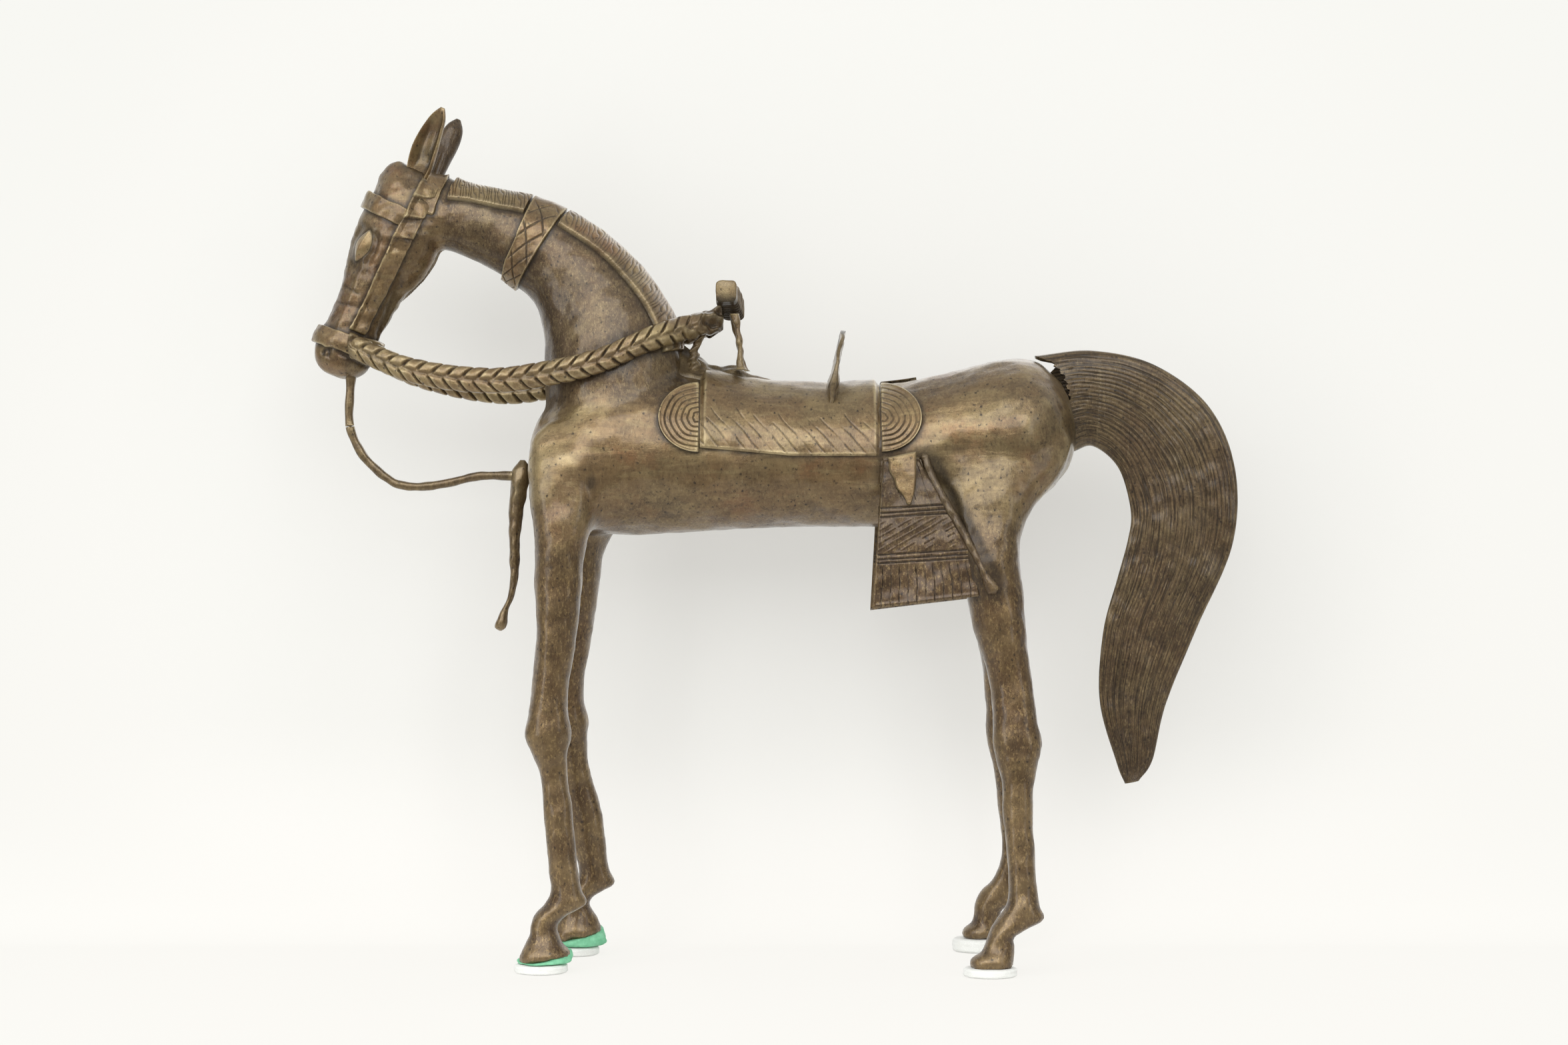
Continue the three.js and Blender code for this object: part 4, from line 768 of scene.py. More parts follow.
def ear(side):
    """A leaf with a hollow front and a raised rim. The right one is narrower at its foot, further back."""
    far = side == RIGHT
    root = CROWN + np.array([2.0 if far else -3.5, side * 7.5, -7])
    along = unit(np.array([0.36, side * 0.17, 0.92]))
    out = unit(np.array([-0.42, side, -0.02]))
    wide = unit(np.cross(along, out))
    near_rows = [(0, 0.7, 1, 0), (0.12, 0.8, 1, 0.35), (0.3, 0.96, 0.95, 1), (0.5, 0.96, 0.85, 1),
                 (0.75, 0.74, 0.66, 0.9), (0.93, 0.42, 0.45, 0.3), (1, 0.16, 0.2, 0)]
    far_rows = [(0, 0.5, 1, 0), (0.12, 0.55, 1, 0.35), (0.3, 0.62, 0.95, 1), (0.55, 0.74, 0.85, 1),
                (0.75, 0.76, 0.66, 0.9), (0.92, 0.5, 0.45, 0.3), (1, 0.18, 0.2, 0)]
    share = np.linspace(0, 1, 70)
    half_wide, half_thick, hollow = smooth_rows(far_rows if far else near_rows)(share)
    angle = full_turn(72)
    s = np.sin(angle)[None, :]
    c = np.cos(angle)
    front = np.clip(s, 0, 1) ** 0.7
    inside = hollow[:, None] * np.clip(1.2 - np.abs(c) ** 3 * 1.5, 0, 1)
    dish = front * (1 - 1.85 * inside) - np.clip(-s, 0, 1) * 1.25
    crease = bell(c - 0.35, 0.13) * front * hollow[:, None]
    length = 38 if far else 40.5
    bow = np.array([0.0 if far else -1.3, 0, 0.4]) * np.sin(share * math.pi)[:, None]
    centre = root + along * (share * length)[:, None] + bow
    table = centre[:, None, :] + wide * (c * half_wide[:, None] * EAR_HALF_WIDTH)[..., None]
    table = table + out * ((dish - 0.12 * crease) * half_thick[:, None] * EAR_HALF_DEPTH)[..., None]
    table = roughen(capped(table, centre), out, (0.25, 5, 11 + side))
    # Painted shade darkens the hollow front, and dirt with painted shade darkens the crease.
    depth = np.pad(0.45 * front * inside + 0.5 * crease, ((1, 1), (0, 0)))
    return new_piece("ear_%s_leaf" % SIDE_WORD[side], sheet_mesh(table, np.clip(depth, 0, 1)))


EYE_DOWN = 43
EYE_BACK = -11.6
EYE_HALF_LENGTH = 8.4
EYE_HALF_HEIGHT = 4.0


def eye(skin, side):
    """A raised almond with a soft ridge along it."""
    turn = np.linspace(0, 2 * math.pi, 65)
    out = np.linspace(0, 1, 30)
    long_way = EYE_HALF_LENGTH * out[:, None] * np.cos(turn)
    short_way = EYE_HALF_HEIGHT * out[:, None] * np.sin(turn) * (1 - 0.45 * np.cos(turn) ** 2)
    down = EYE_DOWN + long_way
    back = EYE_BACK + short_way - long_way * 0.09
    table = head_point(down, head_angle(down, back, side))
    swell = 2.3 * np.clip(1 - out**2.2, 0, 1)[:, None] + 0.35 * bell(short_way, 0.9)
    lift = swell - 0.8 * (out > 0.97)[:, None]
    groove = np.repeat(np.clip((out - 0.86) / 0.1, 0, 1)[:, None] * 0.8, 65, 1)
    table = skin.lay(table, lift)
    table[0] = table[0].mean(axis=0)
    table[:, -1] = table[:, 0]
    return new_piece("eye_%s_almond" % SIDE_WORD[side], sheet_mesh(table, groove))


def strip(name, place, rows, columns, edge=2):
    """A raised strip: place gives points and grooves for shares along and across; the border turns down."""
    u, v = share_grid(rows, columns)
    from_ends = np.minimum(np.arange(rows), np.arange(rows)[::-1])[:, None]
    from_sides = np.minimum(np.arange(columns), np.arange(columns)[::-1])[None, :]
    turned = np.clip(np.minimum(from_ends, from_sides) / edge, 0, 1)
    table, groove = place(u, v, np.sqrt(1 - (1 - turned) ** 2))
    return new_piece(name, sheet_mesh(table, groove))


NECK_RUN = 205
MANE_PARTS = (("upper", 0.118, 0.335), ("lower", 0.415, 0.79))
MANE_DEPTH = 8.5
MANE_HEIGHT = 2.5
HAIR_PITCH = 1.9


def mane(skin, name, start, end):
    """A strip along the crest, hatched with slanting hair lines on both sides of the ridge."""

    def place(u, v, raised):
        along = start + (end - start) * u
        _, _, _, deep, _ = neck_section(along)
        half_turn = np.arccos(np.clip(1 - MANE_DEPTH / deep, -1, 1))
        angle = math.pi / 2 + (v - 0.5) * 2 * half_turn
        run = along * NECK_RUN
        down = np.abs(v - 0.5) * 2
        uneven = 0.7 * np.sin(run * 0.53) + 0.4 * np.sin(run * 1.31 + 1)
        hair = line_groove(run - 6 * down + uneven, HAIR_PITCH, 0.85) * between(down, 0.1, 0.9, 0.15)
        edge = bell(down - 0.9, 0.08) * (0.5 + 0.3 * np.sin(run * 0.9))
        lift = tucked(MANE_HEIGHT - 0.5 * hair + 0.12 * edge, raised, 0.5)
        table = skin.lay(neck_point(along, angle), lift)
        dark = np.maximum(0.75 * hair, 0.4 * bell(down - 0.9, 0.1))
        return table, np.maximum(dark, edge_dirt_and_shade(raised))

    return strip(name, place, 320, 56)


COLLAR_PLACE = 0.375
COLLAR_WIDTH = 15


def neck_collar(skin):
    """A band round the neck, cut with a row of crosses."""

    def place(u, v, raised):
        angle = math.pi / 2 + (u - 0.5) * 2 * math.pi
        along = COLLAR_PLACE + (v - 0.5) * 0.073
        _, _, _, deep, wide = neck_section(along)
        round_way = (angle - math.pi / 2) * (deep + wide) / 2
        width_way = (v - 0.5) * COLLAR_WIDTH
        one = line_groove(width_way + 0.85 * round_way, 8.6, 1.25)
        other = line_groove(width_way - 0.7 * round_way + 2, 9.4, 1.25)
        cross = np.maximum(one, other) * between(v, 0.1, 0.9, 0.08)
        cross *= between(np.abs(round_way), 9, 57, 3)
        border = bell(np.minimum(v, 1 - v), 0.07)
        lift = tucked(2.0 - 0.7 * cross + 0.3 * border, raised, 0.4)
        table = skin.lay(neck_point(along, angle), lift + 0.18 * np.sin(round_way * 0.35))
        table[-1] = table[0]
        # The band's border is darkened with dirt and painted shade.
        return table, np.maximum(cross, (raised < 0.6) * 0.9)

    return strip("neck_collar_band", place, 330, 52)


# Bridle


CHEEK_TOP = 3
CHEEK_LENGTH = 79.5
BROW_DOWN = 23.8
BROW_WIDTH = 8.8
NOSEBAND_DOWN = 89
NOSEBAND_WIDTH = 9
CROWN_STRAP_WIDTH = 8.4


def cheek_strap(skin, side):
    """A strip from the ear to the noseband, folded near the top, with a sharp raised front edge."""

    def place(u, v, raised):
        down = CHEEK_TOP + CHEEK_LENGTH * u
        half = 4.9 - 1.3 * u**1.5
        back = 6.4 - 5.6 * u**1.4 + (v - 0.5) * 2 * half
        ridge = np.clip(1 - np.abs(v - 0.1) / 0.22, 0, 1)
        rise = ((u * 7.6 + 0.35 * v) % 1.0) ** 1.6
        middle = np.clip(1.4 - np.abs(v - 0.45) * 2, 0, 1)
        fold = rise * between(u, 0.02, 0.38, 0.03) * (0.5 + 0.5 * middle)
        wave = 0.45 * np.sin(u * 27 + 1) * v + 0.3 * np.sin(u * 53)
        lift = 1.7 + 1.3 * ridge - 0.7 * v + 2.3 * fold + wave * between(u, 0.36, 1.1, 0.05)
        table = head_point(down, head_angle(down, back, side))
        lift = tucked(lift + 0.3 * lumps(table, 3.2, 31), raised, 0.5)
        dark = np.maximum(edge_dirt_and_shade(raised), 0.5 * (fold > 0) * (rise < 0.12))
        return skin.lay(table, lift), dark

    return strip("cheek_strap_%s_strip" % SIDE_WORD[side], place, 210, 36)


def browband(skin):
    """A band over the forehead between the cheek straps."""

    def place(u, v, raised):
        down = BROW_DOWN - 1.8 * np.cos((u - 0.5) * math.pi) + (v - 0.5) * BROW_WIDTH
        start = head_angle(down, 0 * down + 2.2, LEFT)
        end = 3 * math.pi - start
        angle = start + (end - start) * u
        lift = 2.0 + 0.7 * (1 - v) + 0.2 * np.sin(u * 40)
        table = head_point(down, angle)
        lift = tucked(lift + 0.25 * lumps(table, 4, 35), raised, 0.4)
        return skin.lay(table, lift), edge_dirt_and_shade(raised)

    return strip("browband_strip", place, 170, 34)


def noseband(skin):
    """A ring round the muzzle, thicker at the back of the jaw where the reins start."""

    def place(u, v, raised):
        angle = 2 * math.pi * u + math.pi / 2
        behind = np.clip(np.sin(angle), 0, 1)
        down = NOSEBAND_DOWN + (v - 0.5) * (NOSEBAND_WIDTH + 3 * behind) - np.sin(angle)
        table = head_point(down, angle)
        lift = 2.4 + 0.9 * behind**2 + 0.2 * np.sin(angle * 5) + 0.5 * np.sin(v * math.pi)
        table = skin.lay(table, tucked(lift + 0.3 * lumps(table, 4, 37), raised, 0.4))
        table[-1] = table[0]
        return table, edge_dirt_and_shade(raised)

    return strip("noseband_ring", place, 220, 34)


def crown_strap(skin):
    """A flat strap from the top of one cheek strap behind the ears to the other."""
    left_points = [
        (-167, -17, 359), (-165, -16.5, 365), (-162.6, -14, 372), (-160.4, -10.5, 379), (-159.6, -5, 383),
    ]
    points = left_points + [(-159.4, 0, 384)] + [(x, -y, z) for x, y, z in reversed(left_points)]
    centre, tangent, _, _, _ = path_frames(points, 130)
    out = unit(centre - np.array([-170.0, 0, 360]))
    wide = unit(np.cross(tangent, out))

    def place(u, v, raised):
        table = centre[:, None, :] + wide[:, None, :] * ((v - 0.5) * CROWN_STRAP_WIDTH)[..., None]
        border = bell(np.minimum(v, 1 - v), 0.1)
        lift = tucked(1.3 + 0.5 * border, raised, 0.5)
        # The strap's border is darkened with dirt and painted shade.
        return skin.lay(table, lift + 0.2 * raised * lumps(table, 4, 41)), (raised < 0.6) * 0.9

    return strip("crown_strap_band", place, 130, 30)


def rein_path(side):
    """Points from the noseband to the bar. Rows: share of the way, sag, and distance out (0: on the neck)."""
    start = CROWN + HEAD_DOWN * NOSEBAND_DOWN
    end = np.array([-26.1, 0, BARREL_AXIS + 68])
    sag_depth = 23
    right_sag = 3.6 if side == RIGHT else 0
    neck_gap = 4.3
    rows = [(0, 0, 13), (0.17, 0.65, 20.5), (0.37, 1, 26), (0.52, 0.98, 28.5),
            (0.67, 0.81, 0), (0.81, 0.42, 0), (0.9, 0.23, 14), (1, 0.07, 3.5)]
    points = []
    for share, sag, out in rows:
        point = start + (end - start) * share
        point[2] -= sag_depth * sag + right_sag * math.sin(math.pi * share) ** 2
        point[1] = side * (out or neck_side(point[0], point[2]) + neck_gap)
        points.append(point)
    return points


PLAIT_PITCH = 7.4
PLAIT_SWEEP = 6.4
REIN_HALF_WIDTH = 4.4
REIN_HALF_HEIGHT = 6.15


def rein(side):
    """A plait of two rows of leaf-shaped pads that sweep back from the seam between them."""
    centre, tangent, _, _, run = path_frames(rein_path(side), 620)
    out = unit(np.column_stack([-tangent[:, 1], tangent[:, 0], 0 * run]))
    out *= np.sign(out[:, 1:2]) * side
    angle = full_turn(68)
    up = np.sin(angle)[None, :]
    face = np.abs(np.cos(angle))[None, :]
    way = np.arcsin(np.abs(up)) / (math.pi / 2)
    offset = np.where(up > 0, 0.0, 2.4)
    phase = ((run[:, None] - PLAIT_SWEEP * way**0.85 + offset) / PLAIT_PITCH) % 1.0
    to_edge = np.minimum(phase, 1 - phase) * PLAIT_PITCH
    to_seam = way * 5.2
    groove = bell(to_edge, 0.62) * np.clip((way - 0.06) / 0.12, 0, 1)
    groove = np.maximum(groove, 0.45 * bell(to_seam, 0.45))
    dome = np.sin(math.pi * phase) ** 0.4
    plaited = (np.clip((run[-1] - run - 4) / 26, 0, 1) * np.clip(run / 5, 0, 1))[:, None]
    sink = plaited * (1.45 * groove + 0.6 * (1 - dome)) + (1 - plaited) * 0.3
    ends = np.clip(np.minimum(run, run[-1] - run) / 3 + 0.55, 0.55, 1)[:, None]
    y = np.sign(np.cos(angle)) * face**0.75 * (REIN_HALF_WIDTH - sink) * ends
    z = np.sign(up) * np.abs(up) ** 0.9 * (REIN_HALF_HEIGHT - 0.8 * sink) * ends
    table = centre[:, None, :] + out[:, None, :] * y[..., None]
    table[..., 2] += z
    table = capped(table, centre)
    rough = np.pad(0.2 + 1.7 * (1 - plaited[:, 0]), 1, mode="edge")[:, None]
    table += (rough * lumps(table, 3.2, 51 + side))[..., None] * np.array([0.3, side, 0.6])
    dark = np.maximum(plaited * groove**1.2, 0.7 * (1 - plaited) + 0 * groove)
    dark = np.pad(dark, ((1, 1), (0, 0)), constant_values=0.6)
    return new_piece("rein_%s_plait" % SIDE_WORD[side], sheet_mesh(table, dark))


def rein_drop():
    """The lump of metal that runs down from the left rein's end to the seat's edge."""
    points = [(-33, -5.5, 304), (-37, -6.5, 298), (-39.5, -7, 291), (-39, -7.5, 283)]
    centre, _, _, _, run = path_frames(points, 60)
    thick = 3.7 - 1.0 * np.sin(run / run[-1] * math.pi) + 0.4 * np.sin(run * 1.3)
    ahead = np.array([0.9, 0, 0.43])
    table = ring_table(centre, ACROSS, ahead, thick * 0.9, thick, 36)
    table = roughen(table, (1, 1, 0.4), (0.5, 3, 57), (0.2, 1.6, 59))
    return new_piece("rein_left_drop", sheet_mesh(table, np.full(table.shape[:2], 0.25)))


LEAD_HALF = 2.05


def lead_rein():
    """A thin strap from the chin to the chest. Rows: share of the way, then how far off it in x and z."""
    chin = CROWN + HEAD_DOWN * 100 + HEAD_BACK * 4
    knot = np.array([CHEST_X - 7, 0, BARREL_AXIS - 8.6])
    rows = [(0, 0, 0), (0.06, -5.1, -9.6), (0.12, -9.9, -16), (0.2, -14.6, -20.3), (0.3, -17.4, -25),
            (0.38, -18.3, -26.9), (0.46, -18.1, -28.4), (0.54, -18.1, -27.6), (0.64, -16.1, -23.5),
            (0.78, -14.1, -14.7), (0.9, -8.6, -5.2), (1, 0, 0)]
    points = [chin + (knot - chin) * share + np.array([x * 1.06, 0, z]) for share, x, z in rows]
    centre, _, sideways, up, run = path_frames(points, 200)
    swell = 1 + 0.5 * np.exp(-run / 4) + 0.25 * np.exp((run - run[-1]) / 4)
    thick = LEAD_HALF * swell * (1 + 0.06 * np.sin(run * 0.5))
    table = ring_table(centre, sideways, up, thick * 1.15, thick, 28, 2.6)
    table = roughen(table, (0, 0.5, 1), (0.12, 3.5, 61))
    return new_piece("lead_rein_strap", sheet_mesh(table))


PENDANT_LENGTH = 82
PENDANT_HALF_WIDTH = 4.5
PENDANT_HALF_DEPTH = 4.3


def chest_pendant():
    """A strap with a drop end. Rows: share of its length, distance ahead of the chest, depth and width."""
    line = smooth_rows([
        (0, 3, 0.3, 0.25), (0.03, 3.2, 0.7, 0.7), (0.06, 3.8, 0.95, 0.95), (0.16, 4.7, 1, 1),
        (0.3, 6, 0.82, 0.85), (0.5, 7, 0.6, 0.7), (0.68, 7, 0.48, 0.6), (0.78, 8.2, 0.38, 0.5),
        (0.86, 10.8, 0.34, 0.45), (0.92, 12.6, 0.55, 0.6), (0.965, 13.4, 0.68, 0.66), (0.988, 13.8, 0.5, 0.5),
        (1, 13.9, 0.12, 0.12),
    ])
    share = np.linspace(0, 1, 110)
    ahead, deep, wide = line(share)
    centre = np.column_stack([CHEST_X - ahead, 0 * share, BARREL_AXIS - 1 - PENDANT_LENGTH * share])
    table = ring_table(centre, ACROSS, ALONG, wide * PENDANT_HALF_WIDTH, deep * PENDANT_HALF_DEPTH, 32)
    table = roughen(table, (1, 1, 0), (0.25, 4, 71))
    return new_piece("chest_pendant_strap", sheet_mesh(table))


# Saddle


CLOTH_FRONT = -36
CLOTH_LENGTH = 85.6
CLOTH_MIDDLE = 8


def saddle_cloth():
    """A cloth over the back, with a row of slanting cuts above its lower edge on each side."""

    def place(u, v, raised):
        x = CLOTH_FRONT + CLOTH_LENGTH * u
        hem = BARREL_AXIS + np.where(x < CLOTH_MIDDLE, 4 * (CLOTH_MIDDLE - x) / 44, 0)
        low = torso_angle(x, hem, 1.6)
        angle = low + (math.pi - 2 * low) * v
        table = torso_point(x, angle, 0)
        above = table[..., 2] - hem
        cut = line_groove(x + above * 0.95 + 0.5 * np.sin(above * 0.5), 6.3, 0.75)
        cut *= between(above, 1.5, 17 + 4 * np.sin(x * 0.6), 2)
        cut *= 0.35 + 0.65 * (np.sin(x * 0.37) > -0.55)
        ends = np.clip(np.minimum(u, 1 - u) / 0.03, 0.3, 1)
        lift = (1.55 + 2.2 * np.sin(angle) ** 4) * ends - 0.5 * cut
        lift = lift + 0.3 * lumps(table, 11, 73) + 0.14 * lumps(table, 5, 75)
        table = torso_point(x, angle, tucked(lift, raised, 0.3))
        return table, np.maximum(cut, edge_dirt_and_shade(raised))

    return strip("saddle_cloth_sheet", place, 240, 230)


ROUNDEL_FRONT_X = -36.2
ROUNDEL_REAR_X = 49.8
ROUNDEL_FAR_RISE = 12.5
ROUNDEL_REACH = 19.4
ROUNDEL_HALF_HEIGHT = 16.2
ROUNDEL_RINGS = 7.2


def roundel(name, x, facing, side, rise=0.0):
    """Half a disc of raised rings, with its straight side against the cloth and a thicker rim."""
    r, a = share_grid(130, 100)
    a = (a - 0.5) * math.pi
    wander = r + 0.012 * np.sin(a * 3 + x) + 0.008 * np.sin(a * 7 + side)
    groove = line_groove(wander * ROUNDEL_RINGS, 1.0, 0.42) * between(r, 0.08, 0.93, 0.03)
    rim = bell(r - 0.96, 0.035)
    lift = 1.65 - 0.6 * groove + 0.6 * rim
    lift = np.where(r > 0.99, -0.3, lift) * np.where(np.abs(a) > 1.55, 0.4, 1)
    ahead = x + facing * ROUNDEL_REACH * r * np.cos(a)
    z = BARREL_AXIS + 18 + rise + ROUNDEL_HALF_HEIGHT * r * np.sin(a)
    angle = torso_angle(ahead, z, 0)
    table = torso_point(ahead, angle, 0)
    worn = np.clip(0.75 + 0.5 * lumps(table, 9, 77), 0.25, 1)
    table = torso_point(ahead, angle, lift + (1 - worn) * 0.4 * groove)
    table[..., 1] *= 1 if side == LEFT else -1
    # Besides the grooves between the rings, the outer rim is darkened with dirt and painted shade where it
    # meets the cloth.
    dark = np.maximum(groove * worn, (r > 0.975) * 0.9)
    return new_piece(name, sheet_mesh(table, dark))


def pommel_rim():
    """The raised lumpy edge of the seat, which climbs over the withers to the neck."""
    crest = np.array([
        (-52, 301), (-44, 296.5), (-38.3, 292), (-32.5, 287.8), (-26.8, 286.4), (-18.8, 286.6),
        (-14.3, 283.6), (-10.8, 281.9), (-1, 279.2),
    ])
    width = 27
    edge_height = 1.6

    def place(u, v, raised):
        x = crest[0, 0] + (crest[-1, 0] - crest[0, 0]) * u
        y = (v - 0.5) * width
        axis, half_height, half_width = torso_section(x)
        z = axis + (half_height + 0.2) * np.sqrt(np.clip(1 - (y / half_width) ** 2, 0, 1))
        table = np.stack([x, y, z], -1)
        lump = 0.5 * lumps(table, 3.4, 81) + 0.3 * lumps(table, 7, 83)
        tall = np.maximum(np.interp(x, crest[:, 0], crest[:, 1]) - axis - half_height, edge_height)
        arch = np.cos(math.pi * y / width) ** 2
        table[..., 2] += tucked(edge_height + (tall - edge_height) * arch + 0.8 * lump, raised, 0.6)
        return table, np.clip(0.4 - 0.5 * lump, 0, 1)

    return strip("pommel_rim_edge", place, 130, 80, 3)


def cantle():
    """An upright plate with an arched top, leaning back a little, thicker at its foot."""
    lean = math.radians(9)
    foot_x = 25.4
    foot_z = BARREL_AXIS + 16.5
    tall = 44.6
    half_width = 25
    arch_start = 0.38
    height = np.linspace(0, 1, 100)
    into_arch = np.clip((height - arch_start) / (1 - arch_start), 0, 1)
    half = half_width * np.sqrt(np.clip(1 - into_arch**2.4, 0, 1))
    rise = height * tall
    thick = 1.1 + 1.6 * bell(rise - 17, 6) + 0.4 * (1 - height)
    bow = 0.9 * np.sin(height * 3.1)
    centre = np.column_stack([foot_x + rise * math.tan(lean) - bow, 0 * rise, foot_z + rise])
    ahead = np.array([math.cos(lean), 0, -math.sin(lean)])
    table = ring_table(centre, ACROSS, ahead, half, thick, 96, 5)
    return new_piece("cantle_plate", sheet_mesh(roughen(table, ALONG, (0.35, 7, 91), (0.2, 3, 93))))


def rein_bar():
    """A square bar wound with cord behind its plain end, darker underneath, which the reins hang from."""
    half_width = 5
    length = 24
    cord_turns = 9
    share = np.linspace(0, 1, 130)
    wound = np.clip((share - 0.2) / 0.05, 0, 1)
    turn = 0.5 + 0.5 * np.cos(share * 2 * math.pi * cord_turns)
    ends = np.clip(np.minimum(share, 1 - share) / 0.03 + 0.82, 0, 1)
    half = half_width * (1 + wound * (0.16 * turn**0.6 - 0.03)) * ends
    centre = np.column_stack([-23.8 + 3 * share, (share - 0.5) * length, BARREL_AXIS + 79.3 - 7 * share])
    points = 64
    squareness = 4.5
    table = ring_table(centre, ALONG, UPWARD, half, half * 1.02, points, squareness)
    table = roughen(table, (1, 0, 1), (0.2, 3, 101))
    below = np.clip(-1.6 * np.sin(full_turn(points)), 0, 0.9)
    dark = np.maximum((wound * (1 - turn) * 0.9)[:, None], below)
    return new_piece("rein_bar_bar", sheet_mesh(table, np.pad(dark, ((1, 1), (0, 0)))))


def strut(side):
    """A thin uneven post from the seat's edge to the bar, flaring at both ends."""
    foot = np.array([-16.2, side * 8, BARREL_AXIS + 42])
    head = np.array([-19.8, side * 4, BARREL_AXIS + 69])
    share = np.linspace(0, 1, 80)
    centre = foot + (head - foot) * share[:, None]
    centre[:, 0] += 0.7 * np.sin(share * 4 + side)
    thick = 1.35 + 1.9 * np.exp(-share / 0.06) + 0.9 * np.exp((share - 1) / 0.12)
    thick = thick + 0.25 * np.sin(share * 17 + side)
    table = ring_table(centre, ACROSS, ALONG, thick, thick, 24)
    table = roughen(table, (1, 1, 0), (0.22, 2.6, 111 + side))
    return new_piece("rein_bar_strut_%s_post" % SIDE_WORD[side], sheet_mesh(table))


FLAP_FRONT_X = 50.4
FLAP_REAR_X = 67.2
FLAP_SPREAD = 28.2
FLAP_DROP = 71.4
FLAP_FAR_DROP = 74.4
FLAP_FLARE = math.radians(5)
FLAP_THICKNESS = 2.3
TAB_FRONT_X = 52.5
TAB_REAR_X = 65.9
TAB_THICKNESS = 2.2
TAB_DROP = 22.8
FLANK = 34.3
# Where the double lines are cut across the flap, down from its top
FLAP_LINES = (24.4, 26.6, 28.6, 46.2, 48.4, 50.2)


def flap_place(x, drop, out, side):
    """A point of the flap's plane, which flares away from the flank below the cloth."""
    y = side * (FLANK + drop * math.sin(FLAP_FLARE) + out * math.cos(FLAP_FLARE))
    z = BARREL_AXIS - 0.3 - drop * math.cos(FLAP_FLARE) + out * math.sin(FLAP_FLARE)
    return np.stack([np.broadcast_to(x, np.shape(z)), y, z], -1)


def side_plate(name, table, groove, side, thickness):
    """A plate that hangs beside the flank and faces away from the horse."""
    piece = new_piece(name, sheet_mesh(table, groove))
    turn_faces(piece, lambda face: face.normal.y * side)
    thicken(piece, thickness)
    return piece


def flap(side):
    """A hanging panel cut with double lines, slanting strokes and a fringe."""
    t, s = share_grid(230, 150)
    far = side == RIGHT
    hem = (FLAP_FAR_DROP if far else FLAP_DROP) - 5.8 * s
    drop = t * hem
    front = FLAP_FRONT_X - 5.4 * t + (1.4 * t if far else 0)
    widening = np.tanh(1.25 * (t / 0.76) ** 1.25) / np.tanh(1.25 * (1 / 0.76) ** 1.25)
    rear = FLAP_REAR_X + FLAP_SPREAD * widening
    x = front + (rear - front) * s
    level = drop + 0.06 * (x - 50)
    doubles = sum(bell(level - at, 0.3) for at in FLAP_LINES)
    strokes = line_groove(x * 0.5 + drop * 0.87, 2.6, 0.55) * between(level, 30.5, 44.5, 1.5)
    strokes *= np.sin(x * 0.62 + 1) + np.sin(drop * 0.21 + x * 0.11) > -0.35
    fringe = line_groove(s * 50 + 0.2 * np.sin(drop * 0.5), 4.2, 0.6) * between(level, 52, 90, 1.5)
    upright = line_groove(x - drop * 0.35, 6.5, 0.5) * between(level, 4, 22, 2) * 0.4
    inside = between(s, 0.02, 0.98, 0.015)
    cut = np.clip(doubles + fringe + upright, 0, 1) * inside
    edge = np.minimum(np.minimum(s, 1 - s) * 60, np.minimum(t, 1 - t) * 70)
    rim = bell(edge - 1.2, 0.8)
    turned_in = np.clip(1 - edge / 0.9, 0, 1)
    out = 2.6 - 0.38 * cut + 0.42 * strokes * inside - 0.6 * turned_in + 0.25 * rim
    table = flap_place(x, drop, out, side)
    table = roughen(table, ACROSS * side, (0.5, 13, 121 + side), (0.16, 4, 123))
    return side_plate("flap_%s_panel" % SIDE_WORD[side], table, cut, side, FLAP_THICKNESS)


def flap_tab(side):
    """A pointed tab that hangs over the flap's upper edge."""
    t, s = share_grid(80, 50)
    front = TAB_FRONT_X + 9.6 * t**1.7 + 0.35 * np.sin(t * 17)
    rear = TAB_REAR_X - 3.0 * t**4
    x = front + (rear - front) * s
    drop = (0.5 - 2.9 * s) * (1 - t) + TAB_DROP * t
    edge = np.minimum(np.minimum(s, 1 - s) * 14, np.minimum(t, 1 - t) * 24)
    out = 4.6 + 0.7 * s + 0.35 * np.sin(s * 3) - 0.9 * np.clip(1 - edge / 0.9, 0, 1)
    table = flap_place(x, drop, out, side)
    table = roughen(table, ACROSS * side, (0.2, 6, 131), (0.06, 2.4, 133))
    # Painted shadow darkens the tab's border.
    dark = np.clip(1 - edge / 0.4, 0, 1) * 0.8
    return side_plate("flap_tab_%s_leaf" % SIDE_WORD[side], table, dark, side, TAB_THICKNESS)


def flap_stay(side):
    """A rod from the flank along the flap's rear edge to a flattened end on the thigh."""
    rows = [(69.4, 34.2, 1.5), (72.6, 35.4, -8), (78.6, 37.8, -19.5), (86, 39.8, -32.5),
            (92.6, 41.6, -44.5), (98.6, 43.2, -57), (102.6, 43.8, -64.5)]
    points = [(x, side * out, BARREL_AXIS + rise) for x, out, rise in rows]
    centre, _, sideways, up, run = path_frames(points, 170)
    blob = bell(run[-1] - run - 3, 6)
    thick = 2.0 + 1.2 * blob + 0.3 * np.exp(-run / 5)
    thick = thick * np.clip(np.minimum(run, run[-1] - run) / 2.5 + 0.35, 0.35, 1)
    table = ring_table(centre, sideways, up, thick * (1 - 0.2 * blob), thick, 28)
    table = roughen(table, (0.3, 1, 0.3), (0.35, 3.8, 141 + side))
    # Painted shade darkens the rod a little, but for its flattened end.
    dark = np.pad(0.12 * (1 - blob), 1, mode="edge")[:, None] + np.zeros(table.shape[:2])
    return new_piece("flap_stay_%s_rod" % SIDE_WORD[side], sheet_mesh(table, dark))


# Tail

